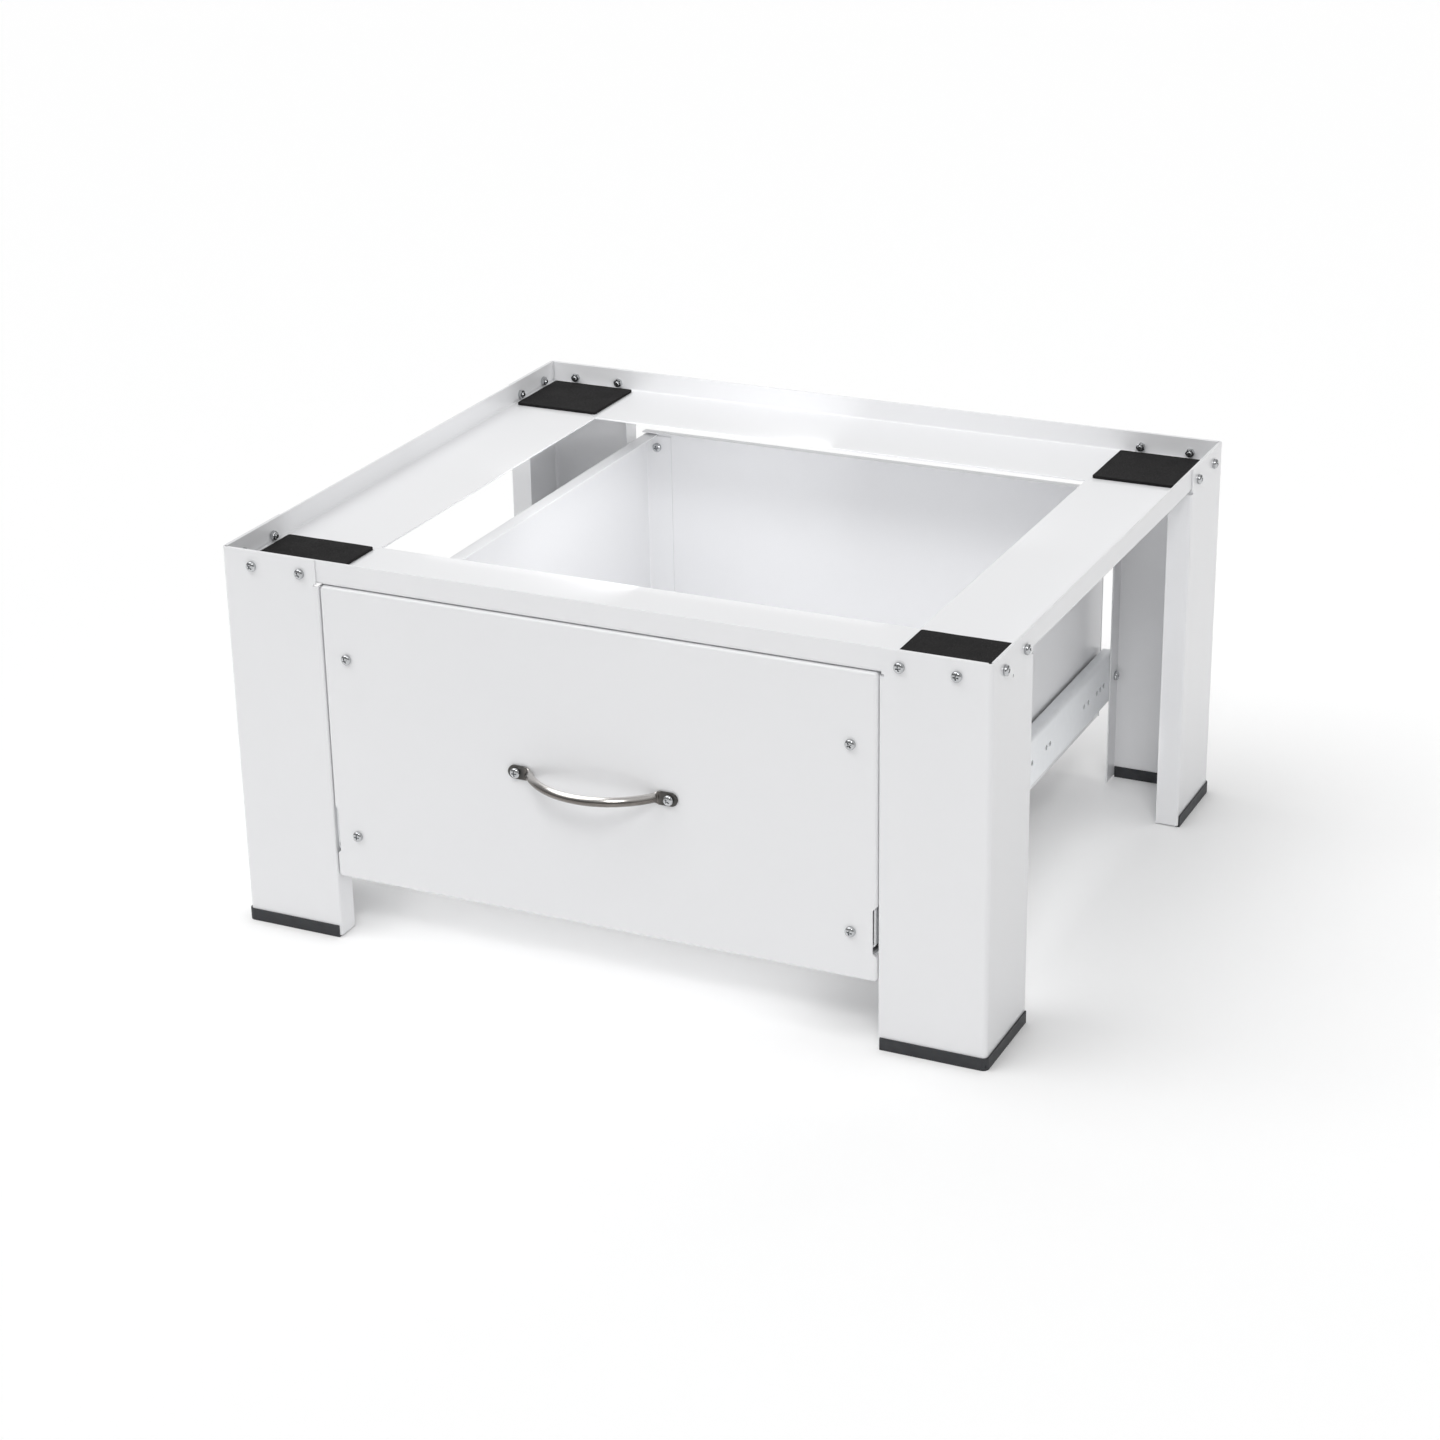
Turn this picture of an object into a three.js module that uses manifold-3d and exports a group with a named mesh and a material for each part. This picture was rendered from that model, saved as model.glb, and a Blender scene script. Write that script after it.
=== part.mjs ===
// Washing machine pedestal: a bolted sheet steel frame with a drawer that runs on ball bearing slides.
// Millimetres, +Z up, +X to the right of someone who faces the drawer, the drawer opens along -Y.
import * as THREE from 'three';
import { mergeVertices } from 'three/addons/utils/BufferGeometryUtils.js';
import Module from 'manifold-3d';

// ---------------------------------------------------------------- frame
const WIDTH = 630; // over the side faces of the legs
const DEPTH = 540; // over the front and rear faces of the legs
const HEIGHT = 318; // floor to the top edge of the legs
const SEAT = 0.1; // paint and play between sheets that are fastened together

const LEG_SHEET = 1.2; // thickness of a leg
const LEG_CORNER = 3; // middle radius of the bend at its corner
const LEG_BEND = 1.2; // the same for its turned edges
const LEG_FACE_X = 85; // width of its front or rear face
const LEG_FACE_Y = 83; // width of its side face
const LEG_RETURN_Y = 20; // inner edge of the front or rear face, turned back
const LEG_RETURN_X = 19.5; // free edge of the side face, turned in
const RELIEF_LENGTH = 4; // bend relief slit above the turned edges
const RELIEF_HEIGHT = 1.8;

const RAIL_SHEET = 1.5; // thickness of a top rail
const RAIL_BEND = 2.4; // middle radius of its bend
const RAIL_WIDTH_X = 89; // outer face of the frame to the inner edge of a side rail
const RAIL_WIDTH_Y = 88; // the same for the front and rear rails
const RAIL_DROP = 18; // top edge of the frame to the top face of the rails, where the pads lie
const MITRE_GAP = 0.3; // between two rails at a corner

const PAD_X = 77.5;
const PAD_Y = 73.5;
const PAD_THICKNESS = 2.5;
const PAD_CLEAR = 0.4; // ends of the bolts to the pad
const PAD_CORNER = 3;

const FOOT_HEIGHT = 10; // edge trim under each leg
const FOOT_FLOOR = 1.3; // its thickness under the sheet
const FOOT_WALL = 1.2;

// ---------------------------------------------------------------- fasteners
const BOLT_RADIUS = 2; // M4
const HOLE_CLEAR = 0.35; // round each thread
const BOLT_RISE = 5.5; // top face of the rails to the frame bolts
const BOLT_INSET_X = 26.5; // side face of the leg to its outer bolt in a front or rear face
const BOLT_INSET_Y = 23.5; // front or rear face to the outer bolt in a side face
const BOLT_PITCH = 43;
const BOLT_TIP = 1.6; // thread past the nut
const SCREW_TIP = 4; // thread past the last sheet, on a screw without a nut
const NUT_FLATS = 7;
const NUT_HEIGHT = 3.2;
const HEAD_RADIUS = 4.1;
const HEAD_HEIGHT = 3.4;
const HEAD_RIM = 0.9; // height of its straight rim
const HEAD_FLAT = 2.5; // radius of its flat top
const RECESS_LENGTH = 4.2; // cross recess
const RECESS_WIDTH = 0.9;
const RECESS_DEPTH = 1.3;
const PILOT_RADIUS = 1.3; // unused hole in a front leg's side face
const PILOT_Y = 41.2; // from the front face
const PILOT_DROP = 5; // below the top face of the rails

// ---------------------------------------------------------------- slides
const SLIDE_Z = 98; // middle of the slides
const SLIDE_DEPTH = 12.5; // leg to drawer
const SLIDE_FRONT = 4; // front face of the frame to the front end of the slide
const SLIDE_REAR = 6; // its rear end to the rear face of the frame
const SLIDE_SCREW_INSET = 8; // front or rear face of the frame to a slide screw
const SLIDE_HOLES = [57, 91, 100, 185, 196, 218, 227, 236]; // unused, behind the middle of the frame
const RACE_SHEET = 1.2; // thickness of each member
const OUTER_HALF = 22.75; // half the height of the member on the legs
const OUTER_LIP = 10.8; // depth of its curled lips
const LIP_STEP = 0.4; // each member's lips, and each cage's, are shallower by this
const OUTER_BEND = 4;
const MIDDLE_BEND = 2;
const INNER_BEND = 1.6;
const MIDDLE_SHORT = 4; // the middle member stops this much short at each end
const BALL_PLAY = 0.3; // ball to race
const OUTER_BALL = 1.6; // radius
const INNER_BALL = 1.2;
const WEB_GAP = 1.4; // between the webs of two members, room for a ball cage
const CAGE_SHEET = 0.5;
const CAGE_LENGTH = 270;
const CAGE_BALLS = 4; // in each row
const BALL_DEPTH = 7.5; // centre of the balls from the leg

// ---------------------------------------------------------------- drawer
const DRAWER_SHEET = 1; // thickness of its sides, back and bottom
const DRAWER_BEND = 1.5;
const DRAWER_DROP = 36; // top face of the rails to the top of the sides
const DRAWER_LIFT = 3; // bottom edge of the front to the underside of the sides
const DRAWER_END = 5.5; // rear face of the frame to the back sheet
const TOP_FOLD = 13; // sides, turned in at the top
const BOTTOM_FOLD = 14; // sides, turned in under the bottom sheet
const FRONT_FLANGE = 22; // sides, turned in behind the front
const REAR_FLANGE = 25; // sides, turned in before the back
const FLANGE_GAP = 2.5; // a flange stops short of a fold
const BACK_RISE = 2.7; // back above the sides
const BACK_FOLD = 9; // back, turned forward at the top

const FRONT_GAP = 0.8; // front panel to the legs
const FRONT_BOTTOM = 54;
const FRONT_TOP_GAP = 0.5; // front panel to the rail above
const FRONT_DEPTH = 14;
const FRONT_SHEET = 1.2;
const FRONT_ROUND = 3; // its outer edges
const FRONT_MITRE = 6; // side flanges, cut at the bottom
const SLIDE_NOTCH = 3; // above and below the slide, in the side flanges
const FRONT_SCREW_IN = 8.8; // side of the drawer to its front screws
const FRONT_SCREW_LOW = 35.5; // above the underside of the sides
const FRONT_SCREW_HIGH = 23; // below the top of the sides
const BACK_SCREW_IN = 11.5;
const BACK_SCREW_DROP = 13; // below the top of the sides

// ---------------------------------------------------------------- handle
const HANDLE_RISE = 118.7; // bottom edge of the front to the middle of the handle
const HANDLE_HOLES = 128; // between its screws
const HANDLE_TAB_END = 6.8; // screw to the end of a tab
const HANDLE_TAB_HEIGHT = 11;
const HANDLE_TAB = 2; // thickness of a tab
const HANDLE_BAR_HEIGHT = 8;
const HANDLE_BAR = 7; // thickness of the bow
const HANDLE_BEND = 4; // middle radius of the bend between a tab and the bow
const HANDLE_SPAN = 111; // between the starts of its two bends
const HANDLE_REACH = 32; // front panel to the outside of the bow

// Worked out from the sizes above.
const HALF_X = WIDTH / 2;
const HALF_Y = DEPTH / 2;
const DECK_Z = HEIGHT - RAIL_DROP;
const BOLT_Z = DECK_Z + BOLT_RISE;
const BOLT_HOLE = BOLT_RADIUS + HOLE_CLEAR;
const LEG_TURN = LEG_BEND + LEG_SHEET / 2; // edge of a face to the end of its bend
const LEG_INNER_X = HALF_X - LEG_FACE_X;
const LEG_INNER_Y = HALF_Y - LEG_FACE_Y;
const SLIDE_FACE = LEG_INNER_X - SEAT; // outer face of a slide
const SLIDE_START = -HALF_Y + SLIDE_FRONT;
const SLIDE_END = HALF_Y - SLIDE_REAR;
const DRAWER_X = SLIDE_FACE - SLIDE_DEPTH - SEAT; // outer face of a drawer side
const DRAWER_TOP = DECK_Z - DRAWER_DROP;
const DRAWER_FLOOR = FRONT_BOTTOM + DRAWER_LIFT; // underside of the sides
const DRAWER_REAR = HALF_Y - DRAWER_END; // rear face of the back sheet
const SIDE_REAR = DRAWER_REAR - DRAWER_SHEET - SEAT; // rear face of a side's rear flange
const SIDE_FRONT = -HALF_Y + FRONT_SHEET + SEAT; // front face of a side's front flange
const FRONT_HALF = LEG_INNER_X - FRONT_GAP;
const FRONT_TOP = DECK_Z - RAIL_SHEET - FRONT_TOP_GAP;
const FRONT_SCREW_Z = { lower: DRAWER_FLOOR + FRONT_SCREW_LOW, upper: DRAWER_TOP - FRONT_SCREW_HIGH };
const BACK_SCREW_Z = DRAWER_TOP - BACK_SCREW_DROP;
const HANDLE_Z = FRONT_BOTTOM + HANDLE_RISE;
const RELIEF_Z = DECK_Z - RAIL_SHEET - SEAT - RELIEF_HEIGHT; // top of the turned edges, under the rails
const BOLT_INSIDE = LEG_SHEET + RAIL_SHEET + 2 * SEAT; // outer face of a leg to its nuts
const BOLT_END = BOLT_INSIDE + SEAT + NUT_HEIGHT + BOLT_TIP; // outer face of a leg to the ends of its bolts
const PAD_INSET = BOLT_END + PAD_CLEAR; // outer face of the frame to the pad

const BEND_STEPS = 3;
const HOLE_SIDES = 10;
const SCREW_SIDES = 8;
const HANDLE_SIDES = 8;
const HANDLE_STEPS = 10; // of the bow
const HANDLE_TIP_ANGLES = [78, 40, 0]; // of the sections that round off a tab's end
const SIDES = { left: -1, right: 1 };
const ENDS = { front: -1, rear: 1 };
const UP = new THREE.Vector3(0, 0, 1);

const wasm = await Module();
wasm.setup();

// ---------------------------------------------------------------- shapes

// A closed three.js geometry as a solid that can be joined and cut.
function solidOf(geometry) {
  const bare = geometry.clone();
  bare.deleteAttribute('normal');
  bare.deleteAttribute('uv');
  const merged = mergeVertices(bare, 1e-4);
  return new wasm.Manifold(new wasm.Mesh({
    numProp: 3,
    vertProperties: new Float32Array(merged.attributes.position.array),
    triVerts: new Uint32Array(merged.index.array),
  }));
}

function geometryOf(solid) {
  const mesh = solid.getMesh();
  const geometry = new THREE.BufferGeometry();
  geometry.setAttribute('position', new THREE.BufferAttribute(mesh.vertProperties, mesh.numProp));
  geometry.setIndex(new THREE.BufferAttribute(mesh.triVerts, 1));
  const faceted = geometry.toNonIndexed();
  faceted.computeVertexNormals();
  return faceted;
}

function join(...geometries) {
  return geometryOf(geometries.map(solidOf).reduce((whole, next) => whole.add(next)));
}

function cut(geometry, ...tools) {
  return geometryOf(tools.map(solidOf).reduce((left, tool) => left.subtract(tool), solidOf(geometry)));
}

function block([x0, x1], [y0, y1], [z0, z1]) {
  const box = new THREE.BoxGeometry(Math.abs(x1 - x0), Math.abs(y1 - y0), Math.abs(z1 - z0));
  return box.translate((x0 + x1) / 2, (y0 + y1) / 2, (z0 + z1) / 2);
}

// A prism along one axis. Its outline is in the next two axes: (y, z) for x, (z, x) for y, (x, y) for z.
const AXES = ['x', 'y', 'z'];
const axesFrom = (axis) => [0, 1, 2].map((step) => AXES[(AXES.indexOf(axis) + step) % 3]);

function unit(axis, length = 1) {
  const vector = new THREE.Vector3();
  vector[axis] = length;
  return vector;
}

function prism(axis, outline, from, to) {
  const shape = new THREE.Shape(outline);
  const depth = Math.abs(to - from);
  const geometry = new THREE.ExtrudeGeometry(shape, { depth, bevelEnabled: false });
  geometry.translate(0, 0, Math.min(from, to));
  return turnTo(axis, geometry);
}

function turnTo(axis, geometry) {
  const [along, u, v] = axesFrom(axis).map((name) => unit(name));
  return geometry.applyMatrix4(new THREE.Matrix4().makeBasis(u, v, along));
}

// A folded pan: a sheet with its four edges turned the same way. It is a slab with rounded edges, the
// outside of the pan, less the same slab drawn in by the sheet. Its outline is in the next two axes.
function pan(axis, [u0, u1], [v0, v1], face, inward, depth, sheet, round) {
  const rectangle = (grow) => [[-1, -1], [1, -1], [1, 1], [-1, 1]].map(([i, j]) => new THREE.Vector2(
    (u0 + u1 + i * (u1 - u0 + 2 * grow)) / 2,
    (v0 + v1 + j * (v1 - v0 + 2 * grow)) / 2,
  ));
  const slab = (wall) => {
    const bevel = round - wall;
    const geometry = new THREE.ExtrudeGeometry(new THREE.Shape(rectangle(-round)), {
      depth: 2 * depth,
      bevelThickness: bevel,
      bevelSize: bevel,
      bevelSegments: BEND_STEPS,
    });
    geometry.translate(0, 0, inward > 0 ? face + round : face - round - 2 * depth);
    return turnTo(axis, geometry);
  };
  const beyond = prism(axis, rectangle(1), face + inward * depth, face + inward * 4 * depth);
  return cut(slab(0), slab(sheet), beyond);
}

function rod(axis, [u, v], radius, from, to) {
  const ring = Array.from({ length: HOLE_SIDES }, (_, i) => {
    const angle = (2 * Math.PI * (i + 0.5)) / HOLE_SIDES;
    return new THREE.Vector2(u + radius * Math.cos(angle), v + radius * Math.sin(angle));
  });
  return prism(axis, ring, from, to);
}

// The outline of a bent strip of sheet: the corners of its middle line are rounded to a radius,
// and its two faces lie half a thickness to either side. A corner may have a radius of its own.
function bentStrip(corners, thickness, usualRadius) {
  const points = corners.map(([u, v]) => new THREE.Vector2(u, v));
  const leftFace = [];
  const rightFace = [];
  const origin = new THREE.Vector2();
  const place = (point, direction) => {
    const normal = new THREE.Vector2(-direction.y, direction.x).multiplyScalar(thickness / 2);
    leftFace.push(point.clone().add(normal));
    rightFace.push(point.clone().sub(normal));
  };
  const toward = (from, to) => to.clone().sub(from).normalize();
  points.forEach((corner, i) => {
    if (i === 0) return place(corner, toward(corner, points[1]));
    if (i === points.length - 1) return place(corner, toward(points[i - 1], corner));
    const arriving = toward(points[i - 1], corner);
    const leaving = toward(corner, points[i + 1]);
    const turn = Math.atan2(arriving.cross(leaving), arriving.dot(leaving));
    const radius = corners[i][2] ?? usualRadius;
    const start = corner.clone().addScaledVector(arriving, -radius * Math.tan(Math.abs(turn) / 2));
    const spoke = new THREE.Vector2(arriving.y, -arriving.x).multiplyScalar(Math.sign(turn) * radius);
    const centre = start.clone().sub(spoke);
    for (let step = 0; step <= BEND_STEPS; step += 1) {
      const angle = (turn * step) / BEND_STEPS;
      place(centre.clone().add(spoke.clone().rotateAround(origin, angle)),
        arriving.clone().rotateAround(origin, angle));
    }
    return undefined;
  });
  return [...leftFace, ...rightFace.reverse()];
}

// A skin over a row of rings with the same number of points, closed by a fan at each end.
function loft(rings) {
  const count = rings[0].length;
  const centres = [rings[0], rings[rings.length - 1]].map((ring) => ring
    .reduce((sum, point) => sum.add(point), new THREE.Vector3()).divideScalar(count));
  const points = [...rings.flat(), ...centres];
  const faces = [];
  for (let i = 0; i < count; i += 1) {
    const next = (i + 1) % count;
    for (let row = 0; row < rings.length - 1; row += 1) {
      const [a, b] = [row * count + i, row * count + next];
      faces.push(a, b + count, b, a, a + count, b + count);
    }
    const last = (rings.length - 1) * count;
    faces.push(points.length - 2, i, next, points.length - 1, last + next, last + i);
  }
  return new THREE.BufferGeometry().setFromPoints(points).setIndex(faces);
}

// ---------------------------------------------------------------- finishes

const FINISHES = {
  whitePaint: { color: 0xe9eaec, roughness: 0.42, metalness: 0 },
  blackRubber: { color: 0x1d1c1c, roughness: 0.85, metalness: 0 },
  darkPlastic: { color: 0x26282a, roughness: 0.6, metalness: 0 },
  brushedSteel: { color: 0xb3aca2, roughness: 0.3, metalness: 1 },
  zinc: { color: 0xc9ced2, roughness: 0.32, metalness: 1 },
};

function piece(name, geometry, finish) {
  const mesh = new THREE.Mesh(geometry, new THREE.MeshStandardMaterial(FINISHES[finish]));
  mesh.name = name;
  return mesh;
}

function assembly(...pieces) {
  const group = new THREE.Group();
  group.add(...pieces);
  return group;
}

// ---------------------------------------------------------------- frame pieces

// The plan of a leg: two faces at a corner, each with its free edge turned in.
function legPlan(sx, sy) {
  const half = LEG_SHEET / 2;
  const corners = [
    [LEG_INNER_X + half, HALF_Y - LEG_RETURN_Y],
    [LEG_INNER_X + half, HALF_Y - half],
    [HALF_X - half, HALF_Y - half, LEG_CORNER],
    [HALF_X - half, LEG_INNER_Y + half],
    [HALF_X - LEG_RETURN_X, LEG_INNER_Y + half],
  ];
  return bentStrip(corners.map(([x, y, radius]) => [sx * x, sy * y, radius]), LEG_SHEET, LEG_BEND);
}

// The two faces alone, without the turned edges, as a strip of any thickness about the sheet's middle.
// It may run past the ends of the faces.
function cornerPlan(sx, sy, thickness, past) {
  const half = LEG_SHEET / 2;
  const [startX, startY] = [LEG_INNER_X + LEG_TURN - past, LEG_INNER_Y + LEG_TURN - past];
  const corners = [[startX, HALF_Y - half], [HALF_X - half, HALF_Y - half], [HALF_X - half, startY]];
  return bentStrip(corners.map(([x, y]) => [sx * x, sy * y]), thickness, LEG_CORNER);
}

// Where the bolts of one corner go through the two faces.
function boltPlaces(sx, sy) {
  return [0, BOLT_PITCH].flatMap((step) => [
    { at: [sx * (HALF_X - BOLT_INSET_X - step), sy * HALF_Y], facing: [0, sy] },
    { at: [sx * HALF_X, sy * (HALF_Y - BOLT_INSET_Y - step)], facing: [sx, 0] },
  ]);
}

// Holes for the bolts of one corner, through a leg and through the rails inside it.
function boltHoles(sx, sy) {
  const reach = BOLT_INSIDE + 1;
  return boltPlaces(sx, sy).map(({ at: [x, y], facing: [fx] }) => (fx === 0
    ? rod('y', [BOLT_Z, x], BOLT_HOLE, y - sy * reach, y + sy)
    : rod('x', [y, BOLT_Z], BOLT_HOLE, x - sx * reach, x + sx)));
}

function leg(endName, sideName) {
  const [sy, sx] = [ENDS[endName], SIDES[sideName]];
  const foot = FOOT_FLOOR + SEAT;
  // The edges are turned in below the rails only.
  const bare = [RELIEF_Z, HEIGHT + 1];
  const slit = [RELIEF_Z, RELIEF_Z + RELIEF_HEIGHT];
  const edgeX = (reach) => [sx * (LEG_INNER_X - 1), sx * (LEG_INNER_X + reach)];
  const edgeY = (reach) => [sy * (LEG_INNER_Y - 1), sy * (LEG_INNER_Y + reach)];
  const tools = [
    block(edgeX(LEG_TURN), [sy * (HALF_Y - LEG_RETURN_Y - 1), sy * (HALF_Y + 1)], bare),
    block([sx * (HALF_X - LEG_RETURN_X - 1), sx * (HALF_X + 1)], edgeY(LEG_TURN), bare),
    block(edgeX(RELIEF_LENGTH), [sy * (HALF_Y - 2 * LEG_SHEET), sy * (HALF_Y + 1)], slit),
    block([sx * (HALF_X - 2 * LEG_SHEET), sx * (HALF_X + 1)], edgeY(RELIEF_LENGTH), slit),
    rod('x', [sy * (HALF_Y - SLIDE_SCREW_INSET), SLIDE_Z], BOLT_HOLE,
      sx * (LEG_INNER_X - 1), sx * (LEG_INNER_X + LEG_SHEET + 1)),
    ...boltHoles(sx, sy),
  ];
  if (endName === 'front') {
    tools.push(rod('x', [sy * (HALF_Y - PILOT_Y), DECK_Z - PILOT_DROP], PILOT_RADIUS,
      sx * (HALF_X - 2 * LEG_SHEET), sx * (HALF_X + 1)));
  }
  const shape = cut(prism('z', legPlan(sx, sy), foot, HEIGHT), ...tools);
  return piece(`leg_${endName}_${sideName}`, shape, 'whitePaint');
}

function foot(endName, sideName) {
  const [sy, sx] = [ENDS[endName], SIDES[sideName]];
  const slotWidth = LEG_SHEET + 2 * SEAT;
  const trim = cornerPlan(sx, sy, slotWidth + 2 * FOOT_WALL, 0);
  const slot = cornerPlan(sx, sy, slotWidth, 1);
  const shape = cut(prism('z', trim, 0, FOOT_HEIGHT), prism('z', slot, FOOT_FLOOR, FOOT_HEIGHT + 1));
  return piece(`foot_${endName}_${sideName}`, shape, 'darkPlastic');
}

function pad(endName, sideName) {
  const [sy, sx] = [ENDS[endName], SIDES[sideName]];
  const [x1, y1] = [HALF_X - PAD_INSET, HALF_Y - PAD_INSET];
  const [x0, y0] = [x1 - PAD_X, y1 - PAD_Y];
  const c = PAD_CORNER;
  const outline = [
    [x0 + c, y0], [x1 - c, y0], [x1, y0 + c], [x1, y1 - c],
    [x1 - c, y1], [x0 + c, y1], [x0, y1 - c], [x0, y0 + c],
  ].map(([x, y]) => new THREE.Vector2(sx * x, sy * y));
  const shape = prism('z', outline, DECK_Z + SEAT, DECK_Z + SEAT + PAD_THICKNESS);
  return piece(`pad_${endName}_${sideName}`, shape, 'blackRubber');
}

// Triangles past the mitre lines at the four corners: one side of each line for the front and rear
// rails, the other side for the left and right rails.
function mitreTools(forSideRail) {
  const outer = new THREE.Vector2(HALF_X, HALF_Y);
  const inner = new THREE.Vector2(HALF_X - RAIL_WIDTH_X, HALF_Y - RAIL_WIDTH_Y);
  const along = outer.clone().sub(inner);
  const near = inner.clone().sub(along);
  const far = outer.clone().add(along);
  const past = forSideRail ? new THREE.Vector2(near.x, far.y) : new THREE.Vector2(far.x, near.y);
  const shift = forSideRail ? new THREE.Vector2(0, -MITRE_GAP / 2) : new THREE.Vector2(-MITRE_GAP / 2, 0);
  return Object.values(SIDES).flatMap((sx) => Object.values(ENDS).map((sy) => {
    const outline = [near, far, past].map((point) => point.clone().add(shift));
    const placed = outline.map(({ x, y }) => new THREE.Vector2(sx * x, sy * y));
    return prism('z', placed, DECK_Z - HEIGHT, 2 * HEIGHT);
  }));
}

function allBoltHoles() {
  return Object.values(SIDES).flatMap((sx) => Object.values(ENDS).flatMap((sy) => boltHoles(sx, sy)));
}

function rail(name) {
  const forSideRail = name in SIDES;
  const sign = forSideRail ? SIDES[name] : ENDS[name];
  const [half, width] = forSideRail ? [HALF_X, RAIL_WIDTH_X] : [HALF_Y, RAIL_WIDTH_Y];
  const upstand = half - LEG_SHEET - SEAT - RAIL_SHEET / 2;
  const deck = DECK_Z - RAIL_SHEET / 2;
  const corners = [[upstand, HEIGHT], [upstand, deck], [half - width, deck]]
    .map(([across, up]) => (forSideRail ? [up, sign * across] : [sign * across, up]));
  const section = bentStrip(corners, RAIL_SHEET, RAIL_BEND);
  const end = (forSideRail ? HALF_Y : HALF_X) - LEG_SHEET - LEG_CORNER;
  const bar = prism(forSideRail ? 'y' : 'x', section, -end, end);
  return piece(`rail_${name}`, cut(bar, ...mitreTools(forSideRail), ...allBoltHoles()), 'whitePaint');
}

// ---------------------------------------------------------------- fastener shapes

// A pan head screw along z, its head above z = 0 and its thread below.
function screwShape(length) {
  const profile = [
    [0, -length], [BOLT_RADIUS, -length], [BOLT_RADIUS, 0], [HEAD_RADIUS, 0],
    [HEAD_RADIUS, HEAD_RIM], [HEAD_FLAT, HEAD_HEIGHT], [0, HEAD_HEIGHT],
  ].map(([radius, z]) => new THREE.Vector2(radius, z));
  const body = new THREE.LatheGeometry(profile, SCREW_SIDES).rotateX(Math.PI / 2);
  const [long, narrow] = [RECESS_LENGTH / 2, RECESS_WIDTH / 2];
  const deep = [HEAD_HEIGHT - RECESS_DEPTH, HEAD_HEIGHT + 1];
  const slots = [[long, narrow], [narrow, long]].map(([x, y]) => block([-x, x], [-y, y], deep));
  return cut(body, ...slots);
}

function nutShape(top) {
  const radius = NUT_FLATS / Math.sqrt(3);
  const hexagon = Array.from({ length: 6 }, (_, i) => new THREE.Vector2(
    radius * Math.cos((i * Math.PI) / 3),
    radius * Math.sin((i * Math.PI) / 3),
  ));
  return prism('z', hexagon, top - NUT_HEIGHT, top);
}

// Sets a fastener's seat at a point, with its head facing a direction.
function fastener(name, shape, at, facing) {
  const mesh = piece(name, shape, 'zinc');
  const outward = new THREE.Vector3(...facing);
  mesh.position.set(...at).addScaledVector(outward, SEAT);
  mesh.quaternion.setFromUnitVectors(UP, outward);
  return mesh;
}

function legBolts() {
  const shape = join(screwShape(BOLT_END + SEAT), nutShape(-BOLT_INSIDE - 2 * SEAT));
  return Object.entries(ENDS).flatMap(([endName, sy]) => Object.entries(SIDES).flatMap(([sideName, sx]) => (
    boltPlaces(sx, sy).map(({ at, facing }, i) => fastener(
      `leg_bolt_${endName}_${sideName}_${i + 1}`,
      shape,
      [...at, BOLT_Z],
      [...facing, 0],
    )))));
}

// ---------------------------------------------------------------- slides

// A channel of the slide, open towards the drawer or towards the leg, as an outline in (z, x).
function channel(side, webDepth, lipDepth, halfHeight, thickness, radius) {
  const middle = halfHeight - thickness / 2;
  return bentStrip([
    [middle, lipDepth], [middle, webDepth], [-middle, webDepth], [-middle, lipDepth],
  ].map(([z, depth]) => [SLIDE_Z + z, side * (SLIDE_FACE - depth)]), thickness, radius);
}

const MIDDLE_HALF = OUTER_HALF - RACE_SHEET - 2 * (OUTER_BALL + BALL_PLAY); // half heights of the channels
const INNER_HALF = MIDDLE_HALF - RACE_SHEET - 2 * (INNER_BALL + BALL_PLAY);
const OUTER_BALL_Z = MIDDLE_HALF + OUTER_BALL + BALL_PLAY; // rows of balls above and below the middle
const INNER_BALL_Z = INNER_HALF + INNER_BALL + BALL_PLAY;
const MIDDLE_WEB = 1.5 * RACE_SHEET + WEB_GAP; // middle of each web from the leg
const INNER_WEB = SLIDE_DEPTH - RACE_SHEET / 2;
const MIDDLE_LIP = OUTER_LIP - LIP_STEP;
const INNER_LIP = MIDDLE_WEB + RACE_SHEET / 2 + WEB_GAP + LIP_STEP / 2;

function slideOuter(sideName) {
  const side = SIDES[sideName];
  const outline = channel(side, RACE_SHEET / 2, OUTER_LIP, OUTER_HALF, RACE_SHEET, OUTER_BEND);
  const through = [side * (SLIDE_FACE + 1), side * (SLIDE_FACE - RACE_SHEET - 1)];
  const screwY = HALF_Y - SLIDE_SCREW_INSET;
  const holes = [-screwY, ...SLIDE_HOLES, screwY]
    .map((y) => rod('x', [y, SLIDE_Z], BOLT_HOLE, ...through));
  const shape = cut(prism('y', outline, SLIDE_START, SLIDE_END), ...holes);
  return piece(`slide_outer_${sideName}`, shape, 'zinc');
}

function slideMiddle(sideName) {
  const side = SIDES[sideName];
  const outline = channel(side, MIDDLE_WEB, MIDDLE_LIP, MIDDLE_HALF, RACE_SHEET, MIDDLE_BEND);
  const shape = prism('y', outline, SLIDE_START + MIDDLE_SHORT, SLIDE_END - MIDDLE_SHORT);
  return piece(`slide_middle_${sideName}`, shape, 'zinc');
}

function slideInner(sideName) {
  const side = SIDES[sideName];
  const outline = channel(side, INNER_WEB, INNER_LIP, INNER_HALF, RACE_SHEET, INNER_BEND);
  const shape = prism('y', outline, SLIDE_START, SLIDE_END - MIDDLE_SHORT);
  return piece(`slide_inner_${sideName}`, shape, 'zinc');
}

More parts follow.
